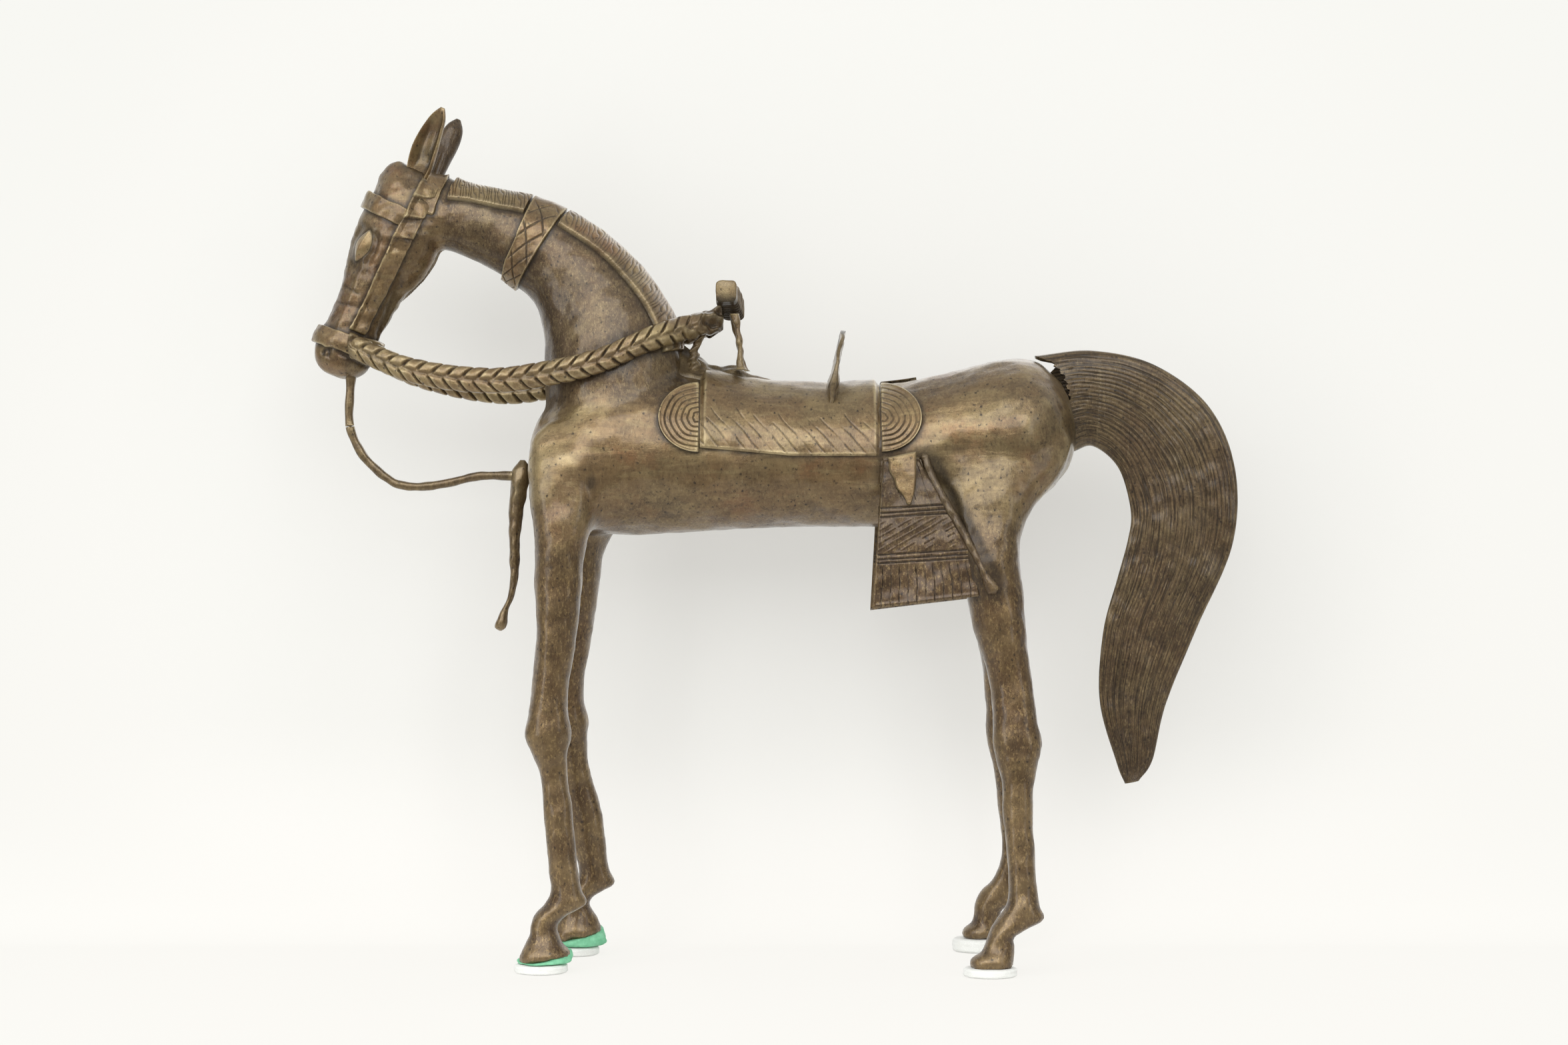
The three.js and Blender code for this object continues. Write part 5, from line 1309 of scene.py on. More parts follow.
TAIL_REACH = 77
TAIL_MIDDLE_Z = 254.5
TAIL_DROP = 167
TAIL_RUN = 330
TAIL_THICKNESS = 5
ROOT_WALL = 1.3
ROOT_FLARE = 11
ROOT_END = 0.126
# Upper and lower edge behind the rump and above the root, as shares of the reach and the drop
TAIL_EDGES = [
    (-0.25, 0.222, -0.01, -0.054), (0.11, 0.237, 0.117, -0.039), (0.5, 0.195, 0.273, -0.102),
    (0.838, 0.075, 0.348, -0.222), (1, -0.108, 0.331, -0.305), (0.981, -0.323, 0.26, -0.425),
    (0.77, -0.551, 0.175, -0.575), (0.57, -0.778, 0.156, -0.772), (0.486, -0.94, 0.262, -0.95),
    (0.4, -1.0, 0.312, -1.008),
]
tail_line = smooth_rows([
    (
        i / (len(TAIL_EDGES) - 1), RUMP_X + a * TAIL_REACH, TAIL_MIDDLE_Z + b * TAIL_DROP,
        RUMP_X + c * TAIL_REACH, TAIL_MIDDLE_Z + d * TAIL_DROP,
    )
    for i, (a, b, c, d) in enumerate(TAIL_EDGES)
])


def tail_point(along, across, face, grow):
    """A point on the tail's right (1) or left (-1) face, across from the inner edge (-1) to the outer (1)."""
    top_x, top_z, low_x, low_z = tail_line(along)
    top = np.stack([top_x, 0 * top_x, top_z], -1)
    low = np.stack([low_x, 0 * low_x, low_z], -1)
    flare = np.clip(1 - along / 0.26, 0, 1) ** 1.5
    half_thick = (TAIL_THICKNESS + ROOT_FLARE * flare) / 2
    point = (top + low) / 2 + (top - low) / 2 * across[..., None]
    point[..., 1] += face * np.clip(1 - np.abs(across) ** 3, 0, 1) ** 0.45 * (half_thick + grow)
    return point


def tail_columns(count):
    """Shares across the tail and the face they lie on, once round: up the left face and down the right."""
    way = np.linspace(-1, 1, count)
    way = 0.8 * way + 0.2 * np.sin(way * math.pi / 2)
    across = np.concatenate([way, way[::-1][1:]])
    face = np.concatenate([np.full(count, LEFT), np.full(count - 1, RIGHT)])
    return across, face


def tail_hair(along, across):
    """Hair lines that run down the tail in two tiers, broken here and there."""
    run = along * TAIL_RUN
    strand = (1 + across) * 23 + 0.9 * np.sin(run * 0.03) + 0.2 * np.sin(run * 0.21)
    first = line_groove(strand, 1.9, 0.85)
    second = line_groove(strand * 1.1 + 0.5 * np.sin(run * 0.05 + 2), 1.75, 0.8)
    tier = np.clip((along - 0.43 + 0.04 * across) / 0.015, 0, 1)
    broken = np.sin(run * 0.08 + across * 19) + np.sin(run * 0.13 - across * 31) > -0.5
    off_edges = np.clip((1 - np.abs(across)) / 0.04, 0, 1)
    return ((1 - tier) * first + tier * second) * (0.6 + 0.4 * broken) * off_edges


def tail_mesh(table, hair, along, across):
    """A sheet of the tail that also stores where each point lies across and along the strands."""
    return sheet_mesh(table, hair, strand=(1 + across) * 25, run=along * TAIL_RUN)


def tail_plate():
    """The cast plate of hair, thin at both edges, which sways a little."""
    along = np.concatenate([[0.1], np.linspace(0.1, 1, 336), [1]])
    across, face = tail_columns(116)
    u, w = np.meshgrid(along, across, indexing="ij")
    side = np.broadcast_to(face, u.shape)
    hair = tail_hair(u, w)
    under_root = np.clip((ROOT_END - u) / 0.01, 0, 1)
    table = tail_point(u, w, side, -0.3 * hair - 0.6 * under_root)
    sway = 0.8 * np.sin(u * 9) + 0.4 * lumps(table, 14, 151) + 0.15 * lumps(table, 5, 153)
    table[..., 1] += sway * np.clip((u - 0.2) / 0.2, 0, 1)
    for end in (0, -1):
        table[end] = table[end].mean(axis=0)
    return new_piece("tail_plate", tail_mesh(table, hair, u, w))


def tail_root():
    """The hollow end that sat over the rump: its left wall is torn back and shows the dark inside."""
    across, face = tail_columns(90)
    share = np.linspace(0, 1, 36)
    left = np.clip(-face * (1 - across**6), 0, 1)
    near_places = [-1, -0.35, 0.05, 0.5, 0.84, 0.95, 1]
    near_tear = np.interp(across, near_places, [0, 0.004, 0.046, 0.044, 0.026, 0.006, 0])
    far_tear = np.interp(across, [-1, 0.5, 0.78, 0.92, 1], [0, 0, 0.043, 0.01, 0])
    ragged = 0.003 * np.sin(across * 41) + 0.002 * np.sin(across * 97 + 1)
    start = np.where(face == LEFT, near_tear + ragged * left, far_tear)
    start[-1] = start[0]
    u = start + (ROOT_END - start) * share[:, None]
    w = np.broadcast_to(across, u.shape)
    side = np.broadcast_to(face, u.shape)
    hair = tail_hair(u, w) * np.clip(share / 0.2, 0, 1)[:, None]
    table = tail_point(u, w, side, -0.3 * hair)
    piece = new_piece("tail_root_cup", tail_mesh(table, hair, u, w))
    middle = Vector(coordinates(piece).mean(axis=0) * MM + SHIFT)
    turn_faces(piece, lambda face: face.normal.dot(face.calc_center_median() - middle))
    thicken(piece, ROOT_WALL)
    return piece


# Stand


def node_place(name):
    """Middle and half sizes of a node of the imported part, in the tables' millimetres."""
    low, high = (np.array(corner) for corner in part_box(name))
    return (low + high) / 2 / MM - SHIFT / MM, (high - low) / MM / 2


def stack_table(middle, heights, half_along, half_across, points):
    """Level rings round an upright axis."""
    centre = np.column_stack([0 * heights + middle[0], 0 * heights + middle[1], heights])
    return ring_table(centre, ALONG, ACROSS, half_along, half_across, points)


def level_offset(table, middle):
    """How far points lie from an upright axis."""
    off = table - middle
    off[..., 2] = 0
    return off


def push_out(table, off, push):
    """Moves points level away from their axis, but for those on it."""
    away = np.linalg.norm(off, axis=-1) > 1
    return table + unit(off) * (push * away)[..., None]


def foot_pad(name):
    """A felt disc with a soft rounded rim."""
    middle, half = node_place(name)
    profile = smooth_rows([(0, 0.9, 0), (0.15, 0.975, 0.1), (0.5, 1, 0.5), (0.85, 0.975, 0.9), (1, 0.9, 1)])
    size, level = profile(np.linspace(0, 1, 20))
    table = stack_table(middle, level * half[2] * 2, size * half[0], size * half[0], 120)
    table = push_out(table, level_offset(table, middle), 0.14 * lumps(table, 1.6, 161))
    return new_piece(name + "_felt", sheet_mesh(table))


def putty(name, setback):
    """A lump of setting putty squeezed out unevenly between pad and hoof, and up the hoof's back."""
    middle, half = node_place(name)
    share = np.linspace(0, 1, 26)
    bulge = np.sqrt(np.clip(1 - np.abs(2 * share - 1) ** 3.2, 0, 1)) * 0.3 + 0.7
    heights = middle[2] - half[2] + share * half[2] * 2
    set_back = middle + ALONG * setback
    table = stack_table(set_back, heights, bulge * half[0] * 0.95, bulge * half[1] * 0.94, 110)
    off = level_offset(table, middle)
    table = push_out(table, off, 0.7 * lumps(table, 5, 171) + 0.35 * lumps(table, 2, 173))
    above = np.pad(share, 1, mode="edge")[:, None]
    heel = bell(off[..., 0] - 9, 6) * bell(off[..., 1] - 3, 9)
    toe = bell(off[..., 0] + 9, 5) * bell(off[..., 1] - 8, 6)
    front = bell(off[..., 0] + 5, 9)
    table[..., 2] += above * (5.0 * heel + 3.0 * toe - 1.5 * front)
    table[..., 0] += above * 2.2 * heel
    return new_piece(name + "_lump", sheet_mesh(table))


# Materials


class Nodes:
    """Short calls for adding nodes to one tree and joining them."""

    def __init__(self, tree):
        self.tree = tree

    def add(self, kind, **settings):
        node = self.tree.nodes.new(kind)
        for name, value in settings.items():
            setattr(node, name, value)
        return node

    def join(self, out, into):
        self.tree.links.new(out, into)

    def put(self, socket, value):
        if isinstance(value, bpy.types.NodeSocket):
            self.join(value, socket)
        else:
            socket.default_value = value

    def noise(self, place, scale, detail=4.0, roughness=0.55, twist=0.0):
        node = self.add("ShaderNodeTexNoise")
        self.put(node.inputs["Vector"], place)
        node.inputs["Scale"].default_value = scale
        node.inputs["Detail"].default_value = detail
        node.inputs["Roughness"].default_value = roughness
        node.inputs["Distortion"].default_value = twist
        return node.outputs["Fac"]

    def math(self, operation, a, b=0.0):
        node = self.add("ShaderNodeMath", operation=operation)
        self.put(node.inputs[0], a)
        self.put(node.inputs[1], b)
        return node.outputs[0]

    def times(self, a, b):
        return self.math("MULTIPLY", a, b)

    def plus(self, a, b):
        return self.math("ADD", a, b)

    def larger(self, a, b):
        return self.math("MAXIMUM", a, b)

    def ramp(self, value, low, high, start=0.0, end=1.0):
        node = self.add("ShaderNodeMapRange", interpolation_type="SMOOTHSTEP")
        self.put(node.inputs["Value"], value)
        self.put(node.inputs["From Min"], low)
        self.put(node.inputs["From Max"], high)
        self.put(node.inputs["To Min"], start)
        self.put(node.inputs["To Max"], end)
        return node.outputs[0]

    def mix(self, amount, a, b, blend="MIX"):
        node = self.add("ShaderNodeMix", data_type="RGBA", blend_type=blend)
        self.put(node.inputs[0], amount)
        self.put(node.inputs[6], a)
        self.put(node.inputs[7], b)
        return node.outputs[2]

    def attribute(self, name):
        return self.add("ShaderNodeAttribute", attribute_name=name).outputs["Fac"]

    def stretched(self, place, scale):
        node = self.add("ShaderNodeMapping")
        self.join(place, node.inputs["Vector"])
        node.inputs["Scale"].default_value = scale
        return node.outputs[0]

    def split(self, place):
        node = self.add("ShaderNodeSeparateXYZ")
        self.join(place, node.inputs[0])
        return node.outputs

    def bump(self, shader, height, strength, distance):
        node = self.add("ShaderNodeBump")
        node.inputs["Strength"].default_value = strength
        node.inputs["Distance"].default_value = distance
        self.join(height, node.inputs["Height"])
        self.join(node.outputs["Normal"], shader.inputs["Normal"])


def new_material(name):
    """A material, the calls for its nodes, its Principled shader and the place on the piece."""
    material = bpy.data.materials.new(name)
    material.use_nodes = True
    n = Nodes(material.node_tree)
    place = n.add("ShaderNodeTexCoord").outputs["Object"]
    return material, n, material.node_tree.nodes["Principled BSDF"], place


def new_group(name, inputs, outputs):
    """A node group with named sockets: inputs by kind and first value, outputs by kind."""
    group = bpy.data.node_groups.new(name, "ShaderNodeTree")
    for label, (kind, value) in inputs.items():
        socket = group.interface.new_socket(name=label, in_out="INPUT", socket_type="NodeSocket" + kind)
        if kind == "Float":
            socket.default_value = value
    for label, kind in outputs.items():
        group.interface.new_socket(name=label, in_out="OUTPUT", socket_type="NodeSocket" + kind)
    n = Nodes(group)
    return group, n, n.add("NodeGroupInput").outputs, n.add("NodeGroupOutput").inputs


OLIVE = (0.28, 0.205, 0.097, 1)
BROWN = (0.22, 0.141, 0.064, 1)
RED_BROWN = (0.265, 0.112, 0.046, 1)
STREAK_DARK = (0.115, 0.07, 0.031, 1)
STREAK_PALE = (0.36, 0.275, 0.13, 1)
PATINA_AND_SHADE = (0.086, 0.053, 0.026, 1)
PATINA_AND_SHADE_DEEP = (0.060, 0.037, 0.019, 1)
CLOUD = (0.075, 0.047, 0.024, 1)
SPOT = (0.054, 0.034, 0.018, 1)
PALE_GOLD = (0.43, 0.33, 0.16, 1)
FLECK_GOLD = (0.45, 0.345, 0.165, 1)
FLECK_DARK = (0.045, 0.029, 0.016, 1)
WORN_GOLD = (0.47, 0.375, 0.205, 1)
RUBBED = (0.38, 0.30, 0.165, 1)
WARM_LEGS = (1.1, 0.88, 0.64, 1)
DIRT_AND_SHADE = (0.019, 0.014, 0.010, 1)
FELT_SHADE = (0.77, 0.78, 0.75, 1)
FELT_WHITE = (0.86, 0.87, 0.84, 1)
FELT_SOIL = (0.66, 0.64, 0.58, 1)
PUTTY_DARK = (0.155, 0.47, 0.27, 1)
PUTTY_GREEN = (0.24, 0.60, 0.37, 1)


def bronze_group():
    """Aged bronze: olive and brown patina, golden flecks and wear on raised places, dirt and painted shade in
    hollows and along the places given in Groove.
    """
    group, n, given, result = new_group(
        "aged_bronze",
        {"Place": ("Vector", None), "Groove": ("Float", 0.0), "Relief": ("Float", 0.0),
         "Gold": ("Float", 0.5), "Red": ("Float", 0.3), "Dark": ("Float", 0.3)},
        {"Color": "Color", "Roughness": "Float", "Height": "Float"},
    )
    place = given["Place"]
    gold = given["Gold"]
    dark = given["Dark"]
    areas = n.noise(place, 24, 5, 0.55)
    clouds = n.noise(place, 75, 7, 0.64)
    mottle = n.noise(n.stretched(place, (1.0, 1.0, 0.65)), 130, 9, 0.74, 0.6)
    flecks = n.noise(n.stretched(place, (1.0, 1.0, 0.6)), 760, 6, 0.72)
    grain = n.noise(place, 1500, 3, 0.6)
    rubs = n.noise(n.stretched(place, (2.6, 1.0, 0.4)), 600, 5, 0.7)
    low = n.ramp(n.split(place)["Z"], 0.235, 0.175)
    level = n.noise(n.stretched(place, (0.16, 1.0, 1.0)), 240, 7, 0.66, 0.3)
    upright = n.noise(n.stretched(place, (1.0, 1.0, 0.18)), 260, 7, 0.66, 0.3)
    strokes = n.plus(n.times(level, n.math("SUBTRACT", 1.0, low)), n.times(upright, low))

    color = n.mix(n.ramp(areas, 0.42, 0.58), OLIVE, BROWN)
    tint = n.times(n.ramp(n.noise(place, 31, 5, 0.6), 0.53, 0.64), given["Red"])
    color = n.mix(tint, color, RED_BROWN)
    color = n.mix(n.ramp(strokes, 0.51, 0.62, 0.0, 0.45), color, STREAK_DARK)
    color = n.mix(n.ramp(strokes, 0.47, 0.37, 0.0, 0.4), color, STREAK_PALE)
    # Dark brings patina, and on the casting painted shade as well.
    color = n.mix(dark, color, PATINA_AND_SHADE)
    color = n.mix(n.times(dark, 0.6), color, PATINA_AND_SHADE_DEEP)
    color = n.mix(n.ramp(clouds, 0.49, 0.62, 0.0, 0.32), color, CLOUD)
    spots = n.times(n.ramp(mottle, 0.52, 0.57), n.ramp(dark, 0.0, 0.6, 0.16, 0.55))
    color = n.mix(spots, color, SPOT)
    light = n.times(n.ramp(mottle, 0.47, 0.42), n.ramp(dark, 0.0, 0.6, 0.08, 0.12))
    color = n.mix(n.times(light, gold), color, PALE_GOLD)
    fleck = n.times(n.ramp(flecks, 0.53, 0.62), n.times(gold, n.ramp(dark, 0.0, 0.6, 0.3, 0.5)))
    color = n.mix(n.times(fleck, n.ramp(low, 0.0, 1.0, 0.5, 1.0)), color, FLECK_GOLD)
    dark_fleck = n.times(n.ramp(flecks, 0.46, 0.36), n.ramp(dark, 0.0, 0.6, 0.3, 0.6))
    color = n.mix(dark_fleck, color, FLECK_DARK)
    worn = n.times(n.ramp(given["Relief"], 0.15, 1.5), n.ramp(clouds, 0.62, 0.4, 0.3, 1.0))
    worn = n.times(worn, n.ramp(dark, 0.0, 0.7, 1.0, 0.4))
    color = n.mix(n.times(worn, gold), color, WORN_GOLD)
    color = n.mix(n.ramp(rubs, 0.58, 0.68, 0.0, 0.32), color, RUBBED)
    color = n.mix(n.times(low, given["Red"]), color, WARM_LEGS, "MULTIPLY")

    cells = n.add("ShaderNodeTexVoronoi")
    n.join(place, cells.inputs["Vector"])
    cells.inputs["Scale"].default_value = 330
    specks = n.times(n.ramp(cells.outputs["Distance"], 0.3, 0.14), n.ramp(flecks, 0.52, 0.44, 0.0, 0.75))
    pits = n.larger(n.ramp(grain, 0.38, 0.27, 0.0, 0.7), specks)
    # Dirt and painted shade: the relief's hollows and the places in Groove go dark. Pits and specks are small
    # dark marks in the metal.
    hollow = n.larger(n.ramp(given["Relief"], -0.15, -1.1, 0.0, 0.92), given["Groove"])
    dirt_and_shade = n.larger(n.times(hollow, n.ramp(grain, 0.3, 0.6, 1.0, 0.8)), pits)
    n.join(n.mix(dirt_and_shade, color, DIRT_AND_SHADE), result["Color"])

    rough = n.plus(n.ramp(clouds, 0.36, 0.66, 0.25, 0.36), n.times(grain, 0.08))
    n.join(n.plus(rough, n.times(dirt_and_shade, 0.3)), result["Roughness"])
    height = n.times(grain, 0.2)
    for texture, share in ((flecks, 0.6), (rubs, 0.4), (strokes, 0.9), (clouds, 0.6), (mottle, -0.3)):
        height = n.plus(height, n.times(texture, share))
    n.join(height, result["Height"])
    return group


def hair_group():
    """Fine lines along the strands of the tail, from places across and along it in millimetres."""
    group, n, given, result = new_group(
        "hair_lines", {"Strand": ("Float", 0.0), "Run": ("Float", 0.0)}, {"Line": "Float"},
    )
    place = n.add("ShaderNodeCombineXYZ")
    n.join(n.times(given["Strand"], 1.15), place.inputs[0])
    n.join(n.times(given["Run"], 0.022), place.inputs[1])
    lines = n.noise(place.outputs[0], 1.0, 3, 0.6)
    n.join(n.ramp(lines, 0.47, 0.38), result["Line"])
    return group


AGED_BRONZE = bronze_group()
HAIR_LINES = hair_group()


def bronze(name, gold, red, dark, bump=0.5, hair=0.0):
    """A bronze surface: how much golden wear, red tint, dark patina and fine hair it has."""
    material, n, shader, place = new_material(name)
    aged = n.add("ShaderNodeGroup", node_tree=AGED_BRONZE)
    n.join(place, aged.inputs["Place"])
    groove = n.attribute("groove")
    height = aged.outputs["Height"]
    if hair:
        lines = n.add("ShaderNodeGroup", node_tree=HAIR_LINES)
        n.join(n.attribute("strand"), lines.inputs["Strand"])
        n.join(n.attribute("run"), lines.inputs["Run"])
        strength = n.times(lines.outputs["Line"], hair)
        groove = n.larger(n.times(groove, 0.8), strength)
        height = n.math("SUBTRACT", height, n.times(strength, 1.2))
    n.join(groove, aged.inputs["Groove"])
    n.join(n.attribute("relief"), aged.inputs["Relief"])
    aged.inputs["Gold"].default_value = gold
    aged.inputs["Red"].default_value = red
    n.join(n.plus(n.attribute("patina"), dark), aged.inputs["Dark"])
    n.join(aged.outputs["Color"], shader.inputs["Base Color"])
    n.join(aged.outputs["Roughness"], shader.inputs["Roughness"])
    shader.inputs["Metallic"].default_value = 0.7
    shader.inputs["Coat Weight"].default_value = 0.5
    shader.inputs["Coat Roughness"].default_value = 0.18
    n.bump(shader, height, bump, 0.8 * MM)
    return material


def felt_material():
    """White felt with fine fibres and a little soil."""
    material, n, shader, place = new_material("white_felt")
    fibres = n.noise(n.stretched(place, (1, 1, 2.5)), 1500, 5, 0.7)
    soil = n.noise(place, 160, 3, 0.5)
    color = n.mix(n.ramp(fibres, 0.35, 0.7), FELT_SHADE, FELT_WHITE)
    color = n.mix(n.ramp(soil, 0.5, 0.8, 0.0, 0.2), color, FELT_SOIL)
    n.join(color, shader.inputs["Base Color"])
    shader.inputs["Roughness"].default_value = 0.95
    shader.inputs["Sheen Weight"].default_value = 0.25
    n.bump(shader, fibres, 0.6, 0.4 * MM)
    return material


def putty_material():
    """Matte green putty, kneaded unevenly."""
    material, n, shader, place = new_material("green_putty")
    knead = n.noise(place, 220, 5, 0.6)
    color = n.mix(n.ramp(knead, 0.35, 0.68), PUTTY_DARK, PUTTY_GREEN)
    n.join(color, shader.inputs["Base Color"])
    shader.inputs["Roughness"].default_value = 0.72
    n.bump(shader, knead, 0.5, 0.8 * MM)
    return material


# Camera, light and floor


PHOTO_WIDTH = 2352
FOCAL_PIXELS = 5000
SENSOR_WIDTH = 36
HORSE_MIDDLE = (0, 0, 0.22)
CAMERA_PLACE = (0.0046, -1.6, 0.2115)
BACKDROP_WHITE = (0.925, 0.93, 0.89, 1)
ROOM_WALL = (0.92, 0.92, 0.90, 1)
ROOM_CEILING = (0.78, 0.78, 0.765, 1)
ROOM_DARK = (0.31, 0.304, 0.286, 1)
SOFT_LIGHT = (0.95, 0.95, 0.93, 1)
TABLE_PAINT = (0.87, 0.865, 0.85, 1)
PAPER_PAINT = (0.685, 0.685, 0.665, 1)
TABLE_GLOW = (0.962, 0.946, 0.902, 1)


def set_camera():
    """A level camera with a long lens on the horse's left side."""
    data = bpy.data.cameras.new("camera")
    data.sensor_width = SENSOR_WIDTH
    data.lens = SENSOR_WIDTH * FOCAL_PIXELS / PHOTO_WIDTH
    camera = bpy.data.objects.new("camera", data)
    camera.location = CAMERA_PLACE
    camera.rotation_euler = (math.radians(90), 0, 0)
    bpy.context.scene.collection.objects.link(camera)
    bpy.context.scene.camera = camera


def area_light(name, place, size, power):
    """A rectangular lamp aimed at the horse."""
    data = bpy.data.lights.new(name, "AREA")
    data.shape = "RECTANGLE"
    data.size, data.size_y = size
    data.energy = power
    lamp = bpy.data.objects.new(name, data)
    lamp.location = place
    lamp.rotation_euler = (Vector(HORSE_MIDDLE) - Vector(place)).to_track_quat("-Z", "Y").to_euler()
    bpy.context.scene.collection.objects.link(lamp)


def studio_world():
    """Pale backdrop for the camera; for reflections a pale room that is dark low down round the camera."""
    world = bpy.data.worlds.new("studio")
    bpy.context.scene.world = world
    world.use_nodes = True
    n = Nodes(world.node_tree)
    world.node_tree.nodes.clear()
    path = n.add("ShaderNodeLightPath").outputs
    way = n.split(n.add("ShaderNodeTexCoord").outputs["Generated"])
    round_camera = n.ramp(way["Y"], 0.45, 0.1)
    low = n.ramp(way["Z"], 0.55, 0.3)
    dark = n.times(round_camera, low)
    room = n.mix(n.ramp(way["Z"], 0.5, 0.75), ROOM_WALL, ROOM_CEILING)
    room = n.mix(dark, room, ROOM_DARK)
    seen = n.larger(path["Is Camera Ray"], path["Is Transmission Ray"])
    shown = n.mix(path["Is Glossy Ray"], SOFT_LIGHT, room)
    shown = n.mix(seen, shown, BACKDROP_WHITE)
    strength = n.larger(n.larger(seen, path["Is Glossy Ray"]), 0.85)
    back = n.add("ShaderNodeBackground")
    n.join(shown, back.inputs["Color"])
    n.join(strength, back.inputs["Strength"])
    n.join(back.outputs[0], n.add("ShaderNodeOutputWorld").inputs[0])


def studio_white():
    """White paper: it glows for the camera away from the horse and shows soft shade near it."""
    material = bpy.data.materials.new("studio_white")
    material.use_nodes = True
    n = Nodes(material.node_tree)
    material.node_tree.nodes.clear()
    place = n.add("ShaderNodeTexCoord").outputs["Object"]
    upright = n.ramp(n.split(place)["Z"], 0.004, 0.12)
    reach = n.add("ShaderNodeVectorMath", operation="LENGTH")
    n.join(place, reach.inputs[0])
    on_table = n.ramp(reach.outputs["Value"], 0.2, 0.9, 0.85, 1.0)
    away = n.add("ShaderNodeVectorMath", operation="DISTANCE")
    n.join(place, away.inputs[0])
    away.inputs[1].default_value = (0.0, 0.1, 0.22)
    on_backdrop = n.ramp(away.outputs["Value"], 0.26, 0.42, 0.5, 1.0)
    glowing = n.plus(n.times(upright, on_backdrop), n.times(n.math("SUBTRACT", 1.0, upright), on_table))
    path = n.add("ShaderNodeLightPath").outputs
    seen = n.larger(path["Is Camera Ray"], path["Is Glossy Ray"])
    seen = n.larger(seen, path["Is Transmission Ray"])
    paint = n.add("ShaderNodeBsdfDiffuse")
    n.join(n.mix(upright, TABLE_PAINT, PAPER_PAINT), paint.inputs["Color"])
    glow = n.add("ShaderNodeEmission")
    fade = n.ramp(reach.outputs["Value"], 0.2, 0.9)
    n.join(n.mix(fade, TABLE_GLOW, BACKDROP_WHITE), glow.inputs["Color"])
    n.join(n.ramp(path["Is Glossy Ray"], 0.0, 1.0, 1.0, 0.9), glow.inputs["Strength"])
    both = n.add("ShaderNodeMixShader")
    n.join(n.times(glowing, seen), both.inputs[0])
    n.join(paint.outputs[0], both.inputs[1])
    n.join(glow.outputs[0], both.inputs[2])
    one_sided = n.add("ShaderNodeMixShader")
    n.join(n.add("ShaderNodeNewGeometry").outputs["Backfacing"], one_sided.inputs[0])
    n.join(both.outputs[0], one_sided.inputs[1])
    n.join(n.add("ShaderNodeBsdfTransparent").outputs[0], one_sided.inputs[2])
    n.join(one_sided.outputs[0], n.add("ShaderNodeOutputMaterial").inputs[0])
    return material


def table_top(material):
    """A round white table that ends before the camera."""
    bm = bmesh.new()
    bmesh.ops.create_circle(bm, cap_ends=True, cap_tris=True, segments=96, radius=1.6)
    bmesh.ops.translate(bm, verts=bm.verts, vec=(0, 0, -0.0002))
    whole = bm.verts[:] + bm.edges[:] + bm.faces[:]
    bmesh.ops.bisect_plane(bm, geom=whole, plane_co=(0, -0.3, 0), plane_no=(0, -1, 0), clear_outer=True)
    table = new_piece("table_top", bm)
    table.data.materials.append(material)


def backdrop(material):
    """A sheet of paper that curves up from the table behind the horse. It is seen from its front only."""
    width = 0.88
    length = 0.7
    start = 0.0615
    bend = 0.022
    bm = bmesh.new()
    bmesh.ops.create_grid(bm, x_segments=2, y_segments=240, size=0.5)
    for vert in bm.verts:
        run = (vert.co.y + 0.5) * length
        turn = min(run / bend, math.pi / 2)
        rise = max(run - bend * math.pi / 2, 0.0)
        height = bend * (1 - math.cos(turn)) + rise - 0.0001
        vert.co = (vert.co.x * width, start + bend * math.sin(turn), height)
    sheet = new_piece("backdrop", bm)
    sheet.data.materials.append(material)
    sheet.visible_shadow = False
    sheet.visible_diffuse = False
    sheet.visible_glossy = False


# Assembly


trims = []
resting = []


def finish_piece(piece, material, slot, *nodes, dirt_and_shade_list=None):
    """Gives a finished piece its material and its place in the part, and adds it to a list of pieces that get
    dirt and painted shade round them on the casting.
    """
    if slot.endswith("bronze") and "relief" not in piece.data.attributes:
        write_hollows(piece, 8)
    piece.data.materials.clear()
    piece.data.materials.append(material)
    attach(piece, "root")
    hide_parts(*nodes)
    if dirt_and_shade_list is not None:
        dirt_and_shade_list.append(piece)


set_camera()
studio_world()
paper = studio_white()
table_top(paper)
backdrop(paper)
area_light("front_light", (-0.15, -1.46, 1.0), (2.0, 0.95), 17.2)
area_light("left_light", (-1.17, -1.09, 0.5), (0.45, 1.0), 4.5)
area_light("right_light", (1.17, -1.09, 0.5), (0.4, 0.9), 2)
area_light("rear_light", (0.4, 1.4, 1.1), (1.8, 0.9), 3.5)
bpy.context.scene.view_settings.view_transform = "Standard"

body_bronze = bronze("body_bronze", gold=0.7, red=0.45, dark=0.0, bump=0.35)
trim_bronze = bronze("trim_bronze", gold=0.8, red=0.15, dark=0.18, bump=0.35)
rein_bronze = bronze("plait_bronze", gold=1.0, red=0.0, dark=0.0)
tail_bronze = bronze("tail_bronze", gold=0.4, red=0.05, dark=0.62, bump=0.6, hair=0.75)
flap_bronze = bronze("flap_bronze", gold=0.6, red=0.35, dark=0.9)
cord_bronze = bronze("cord_bronze", gold=0.6, red=0.1, dark=0.45, bump=0.3)
ear_back = bronze("ear_back_bronze", gold=0.2, red=0.2, dark=1.0)
tab_bronze = bronze("tab_bronze", gold=1.0, red=0.0, dark=0.0)
cast_bronze = bronze("rough_bronze", gold=0.6, red=0.05, dark=0.2, bump=0.9)
felt = felt_material()
green_putty = putty_material()

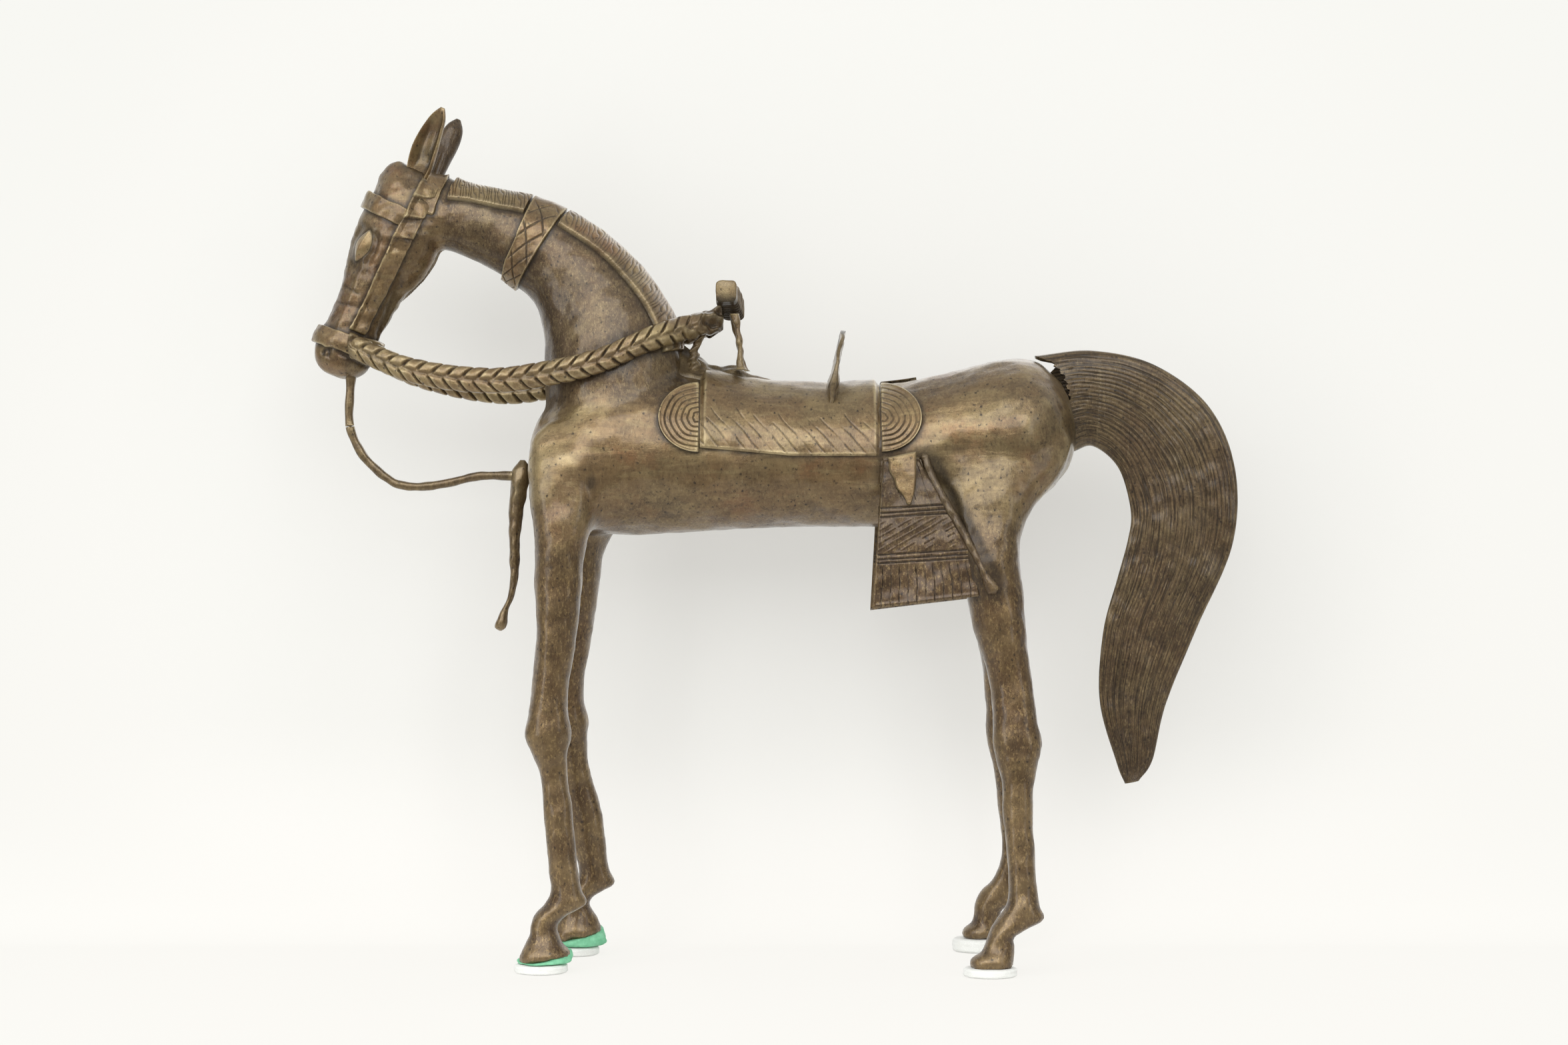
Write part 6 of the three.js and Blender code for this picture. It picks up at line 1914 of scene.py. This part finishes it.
casting = horse_casting()
skin = Skin(casting)
finish_piece(casting, body_bronze, "body_bronze", "torso", "neck", "head", *(leg[0] for leg in LEGS))
for side, word in SIDE_WORD.items():
    ear_bronze = body_bronze if side == LEFT else ear_back
    finish_piece(ear(side), ear_bronze, "body_bronze", "ear_" + word, dirt_and_shade_list=resting)
    finish_piece(eye(skin, side), body_bronze, "body_bronze", "eye_" + word, dirt_and_shade_list=trims)
    finish_piece(cheek_strap(skin, side), tab_bronze, "trim_bronze", "cheek_strap_" + word, dirt_and_shade_list=trims)
    finish_piece(rein(side), rein_bronze, "trim_bronze", "rein_" + word, dirt_and_shade_list=resting)
    finish_piece(strut(side), cast_bronze, "trim_bronze", "rein_bar_strut_" + word, dirt_and_shade_list=resting)
    finish_piece(flap(side), flap_bronze, "trim_bronze", "flap_" + word, dirt_and_shade_list=resting)
    finish_piece(flap_tab(side), tab_bronze, "trim_bronze", "flap_tab_" + word)
    # The rod takes the flap's darker bronze as painted shade, since it lies in shadow beside the flap.
    finish_piece(flap_stay(side), flap_bronze, "trim_bronze", "flap_stay_" + word, dirt_and_shade_list=resting)
    front = roundel("roundel_front_%s_rings" % word, ROUNDEL_FRONT_X, -1, side)
    finish_piece(front, tab_bronze, "trim_bronze", "roundel_front_" + word, dirt_and_shade_list=trims)
    rise = 0 if side == LEFT else ROUNDEL_FAR_RISE
    rear = roundel("roundel_rear_%s_rings" % word, ROUNDEL_REAR_X, 1, side, rise)
    finish_piece(rear, tab_bronze, "trim_bronze", "roundel_rear_" + word, dirt_and_shade_list=trims)
finish_piece(rein_drop(), cast_bronze, "trim_bronze", "rein_left")
for word, start, end in MANE_PARTS:
    hair = mane(skin, "mane_%s_hair" % word, start, end)
    finish_piece(hair, body_bronze, "body_bronze", "mane_" + word, dirt_and_shade_list=trims)
finish_piece(neck_collar(skin), trim_bronze, "trim_bronze", "neck_collar", dirt_and_shade_list=trims)
finish_piece(browband(skin), trim_bronze, "trim_bronze", "browband", dirt_and_shade_list=trims)
finish_piece(noseband(skin), trim_bronze, "trim_bronze", "noseband", dirt_and_shade_list=trims)
finish_piece(crown_strap(skin), trim_bronze, "trim_bronze", "crown_strap", dirt_and_shade_list=trims)
finish_piece(lead_rein(), cord_bronze, "trim_bronze", "lead_rein_drop", "lead_rein_run")
finish_piece(chest_pendant(), cord_bronze, "trim_bronze", "chest_pendant", dirt_and_shade_list=resting)
finish_piece(saddle_cloth(), trim_bronze, "trim_bronze", "saddle_cloth", dirt_and_shade_list=trims)
finish_piece(pommel_rim(), cast_bronze, "trim_bronze", "pommel_rim")
finish_piece(cantle(), trim_bronze, "trim_bronze", "cantle")
finish_piece(rein_bar(), cast_bronze, "trim_bronze", "rein_bar")
finish_piece(tail_plate(), tail_bronze, "body_bronze", "tail")
finish_piece(tail_root(), tail_bronze, "body_bronze", "tail", dirt_and_shade_list=resting)
for name, *_ in LEGS:
    pad = foot_pad("foot_pad_" + name)
    finish_piece(pad, felt, "felt", "foot_pad_" + name)
for name, setback in (("putty_foreleg_left", 1.5), ("putty_foreleg_right", 2.5)):
    finish_piece(putty(name, setback), green_putty, "putty", name)
darken_seams(casting, trims, resting)
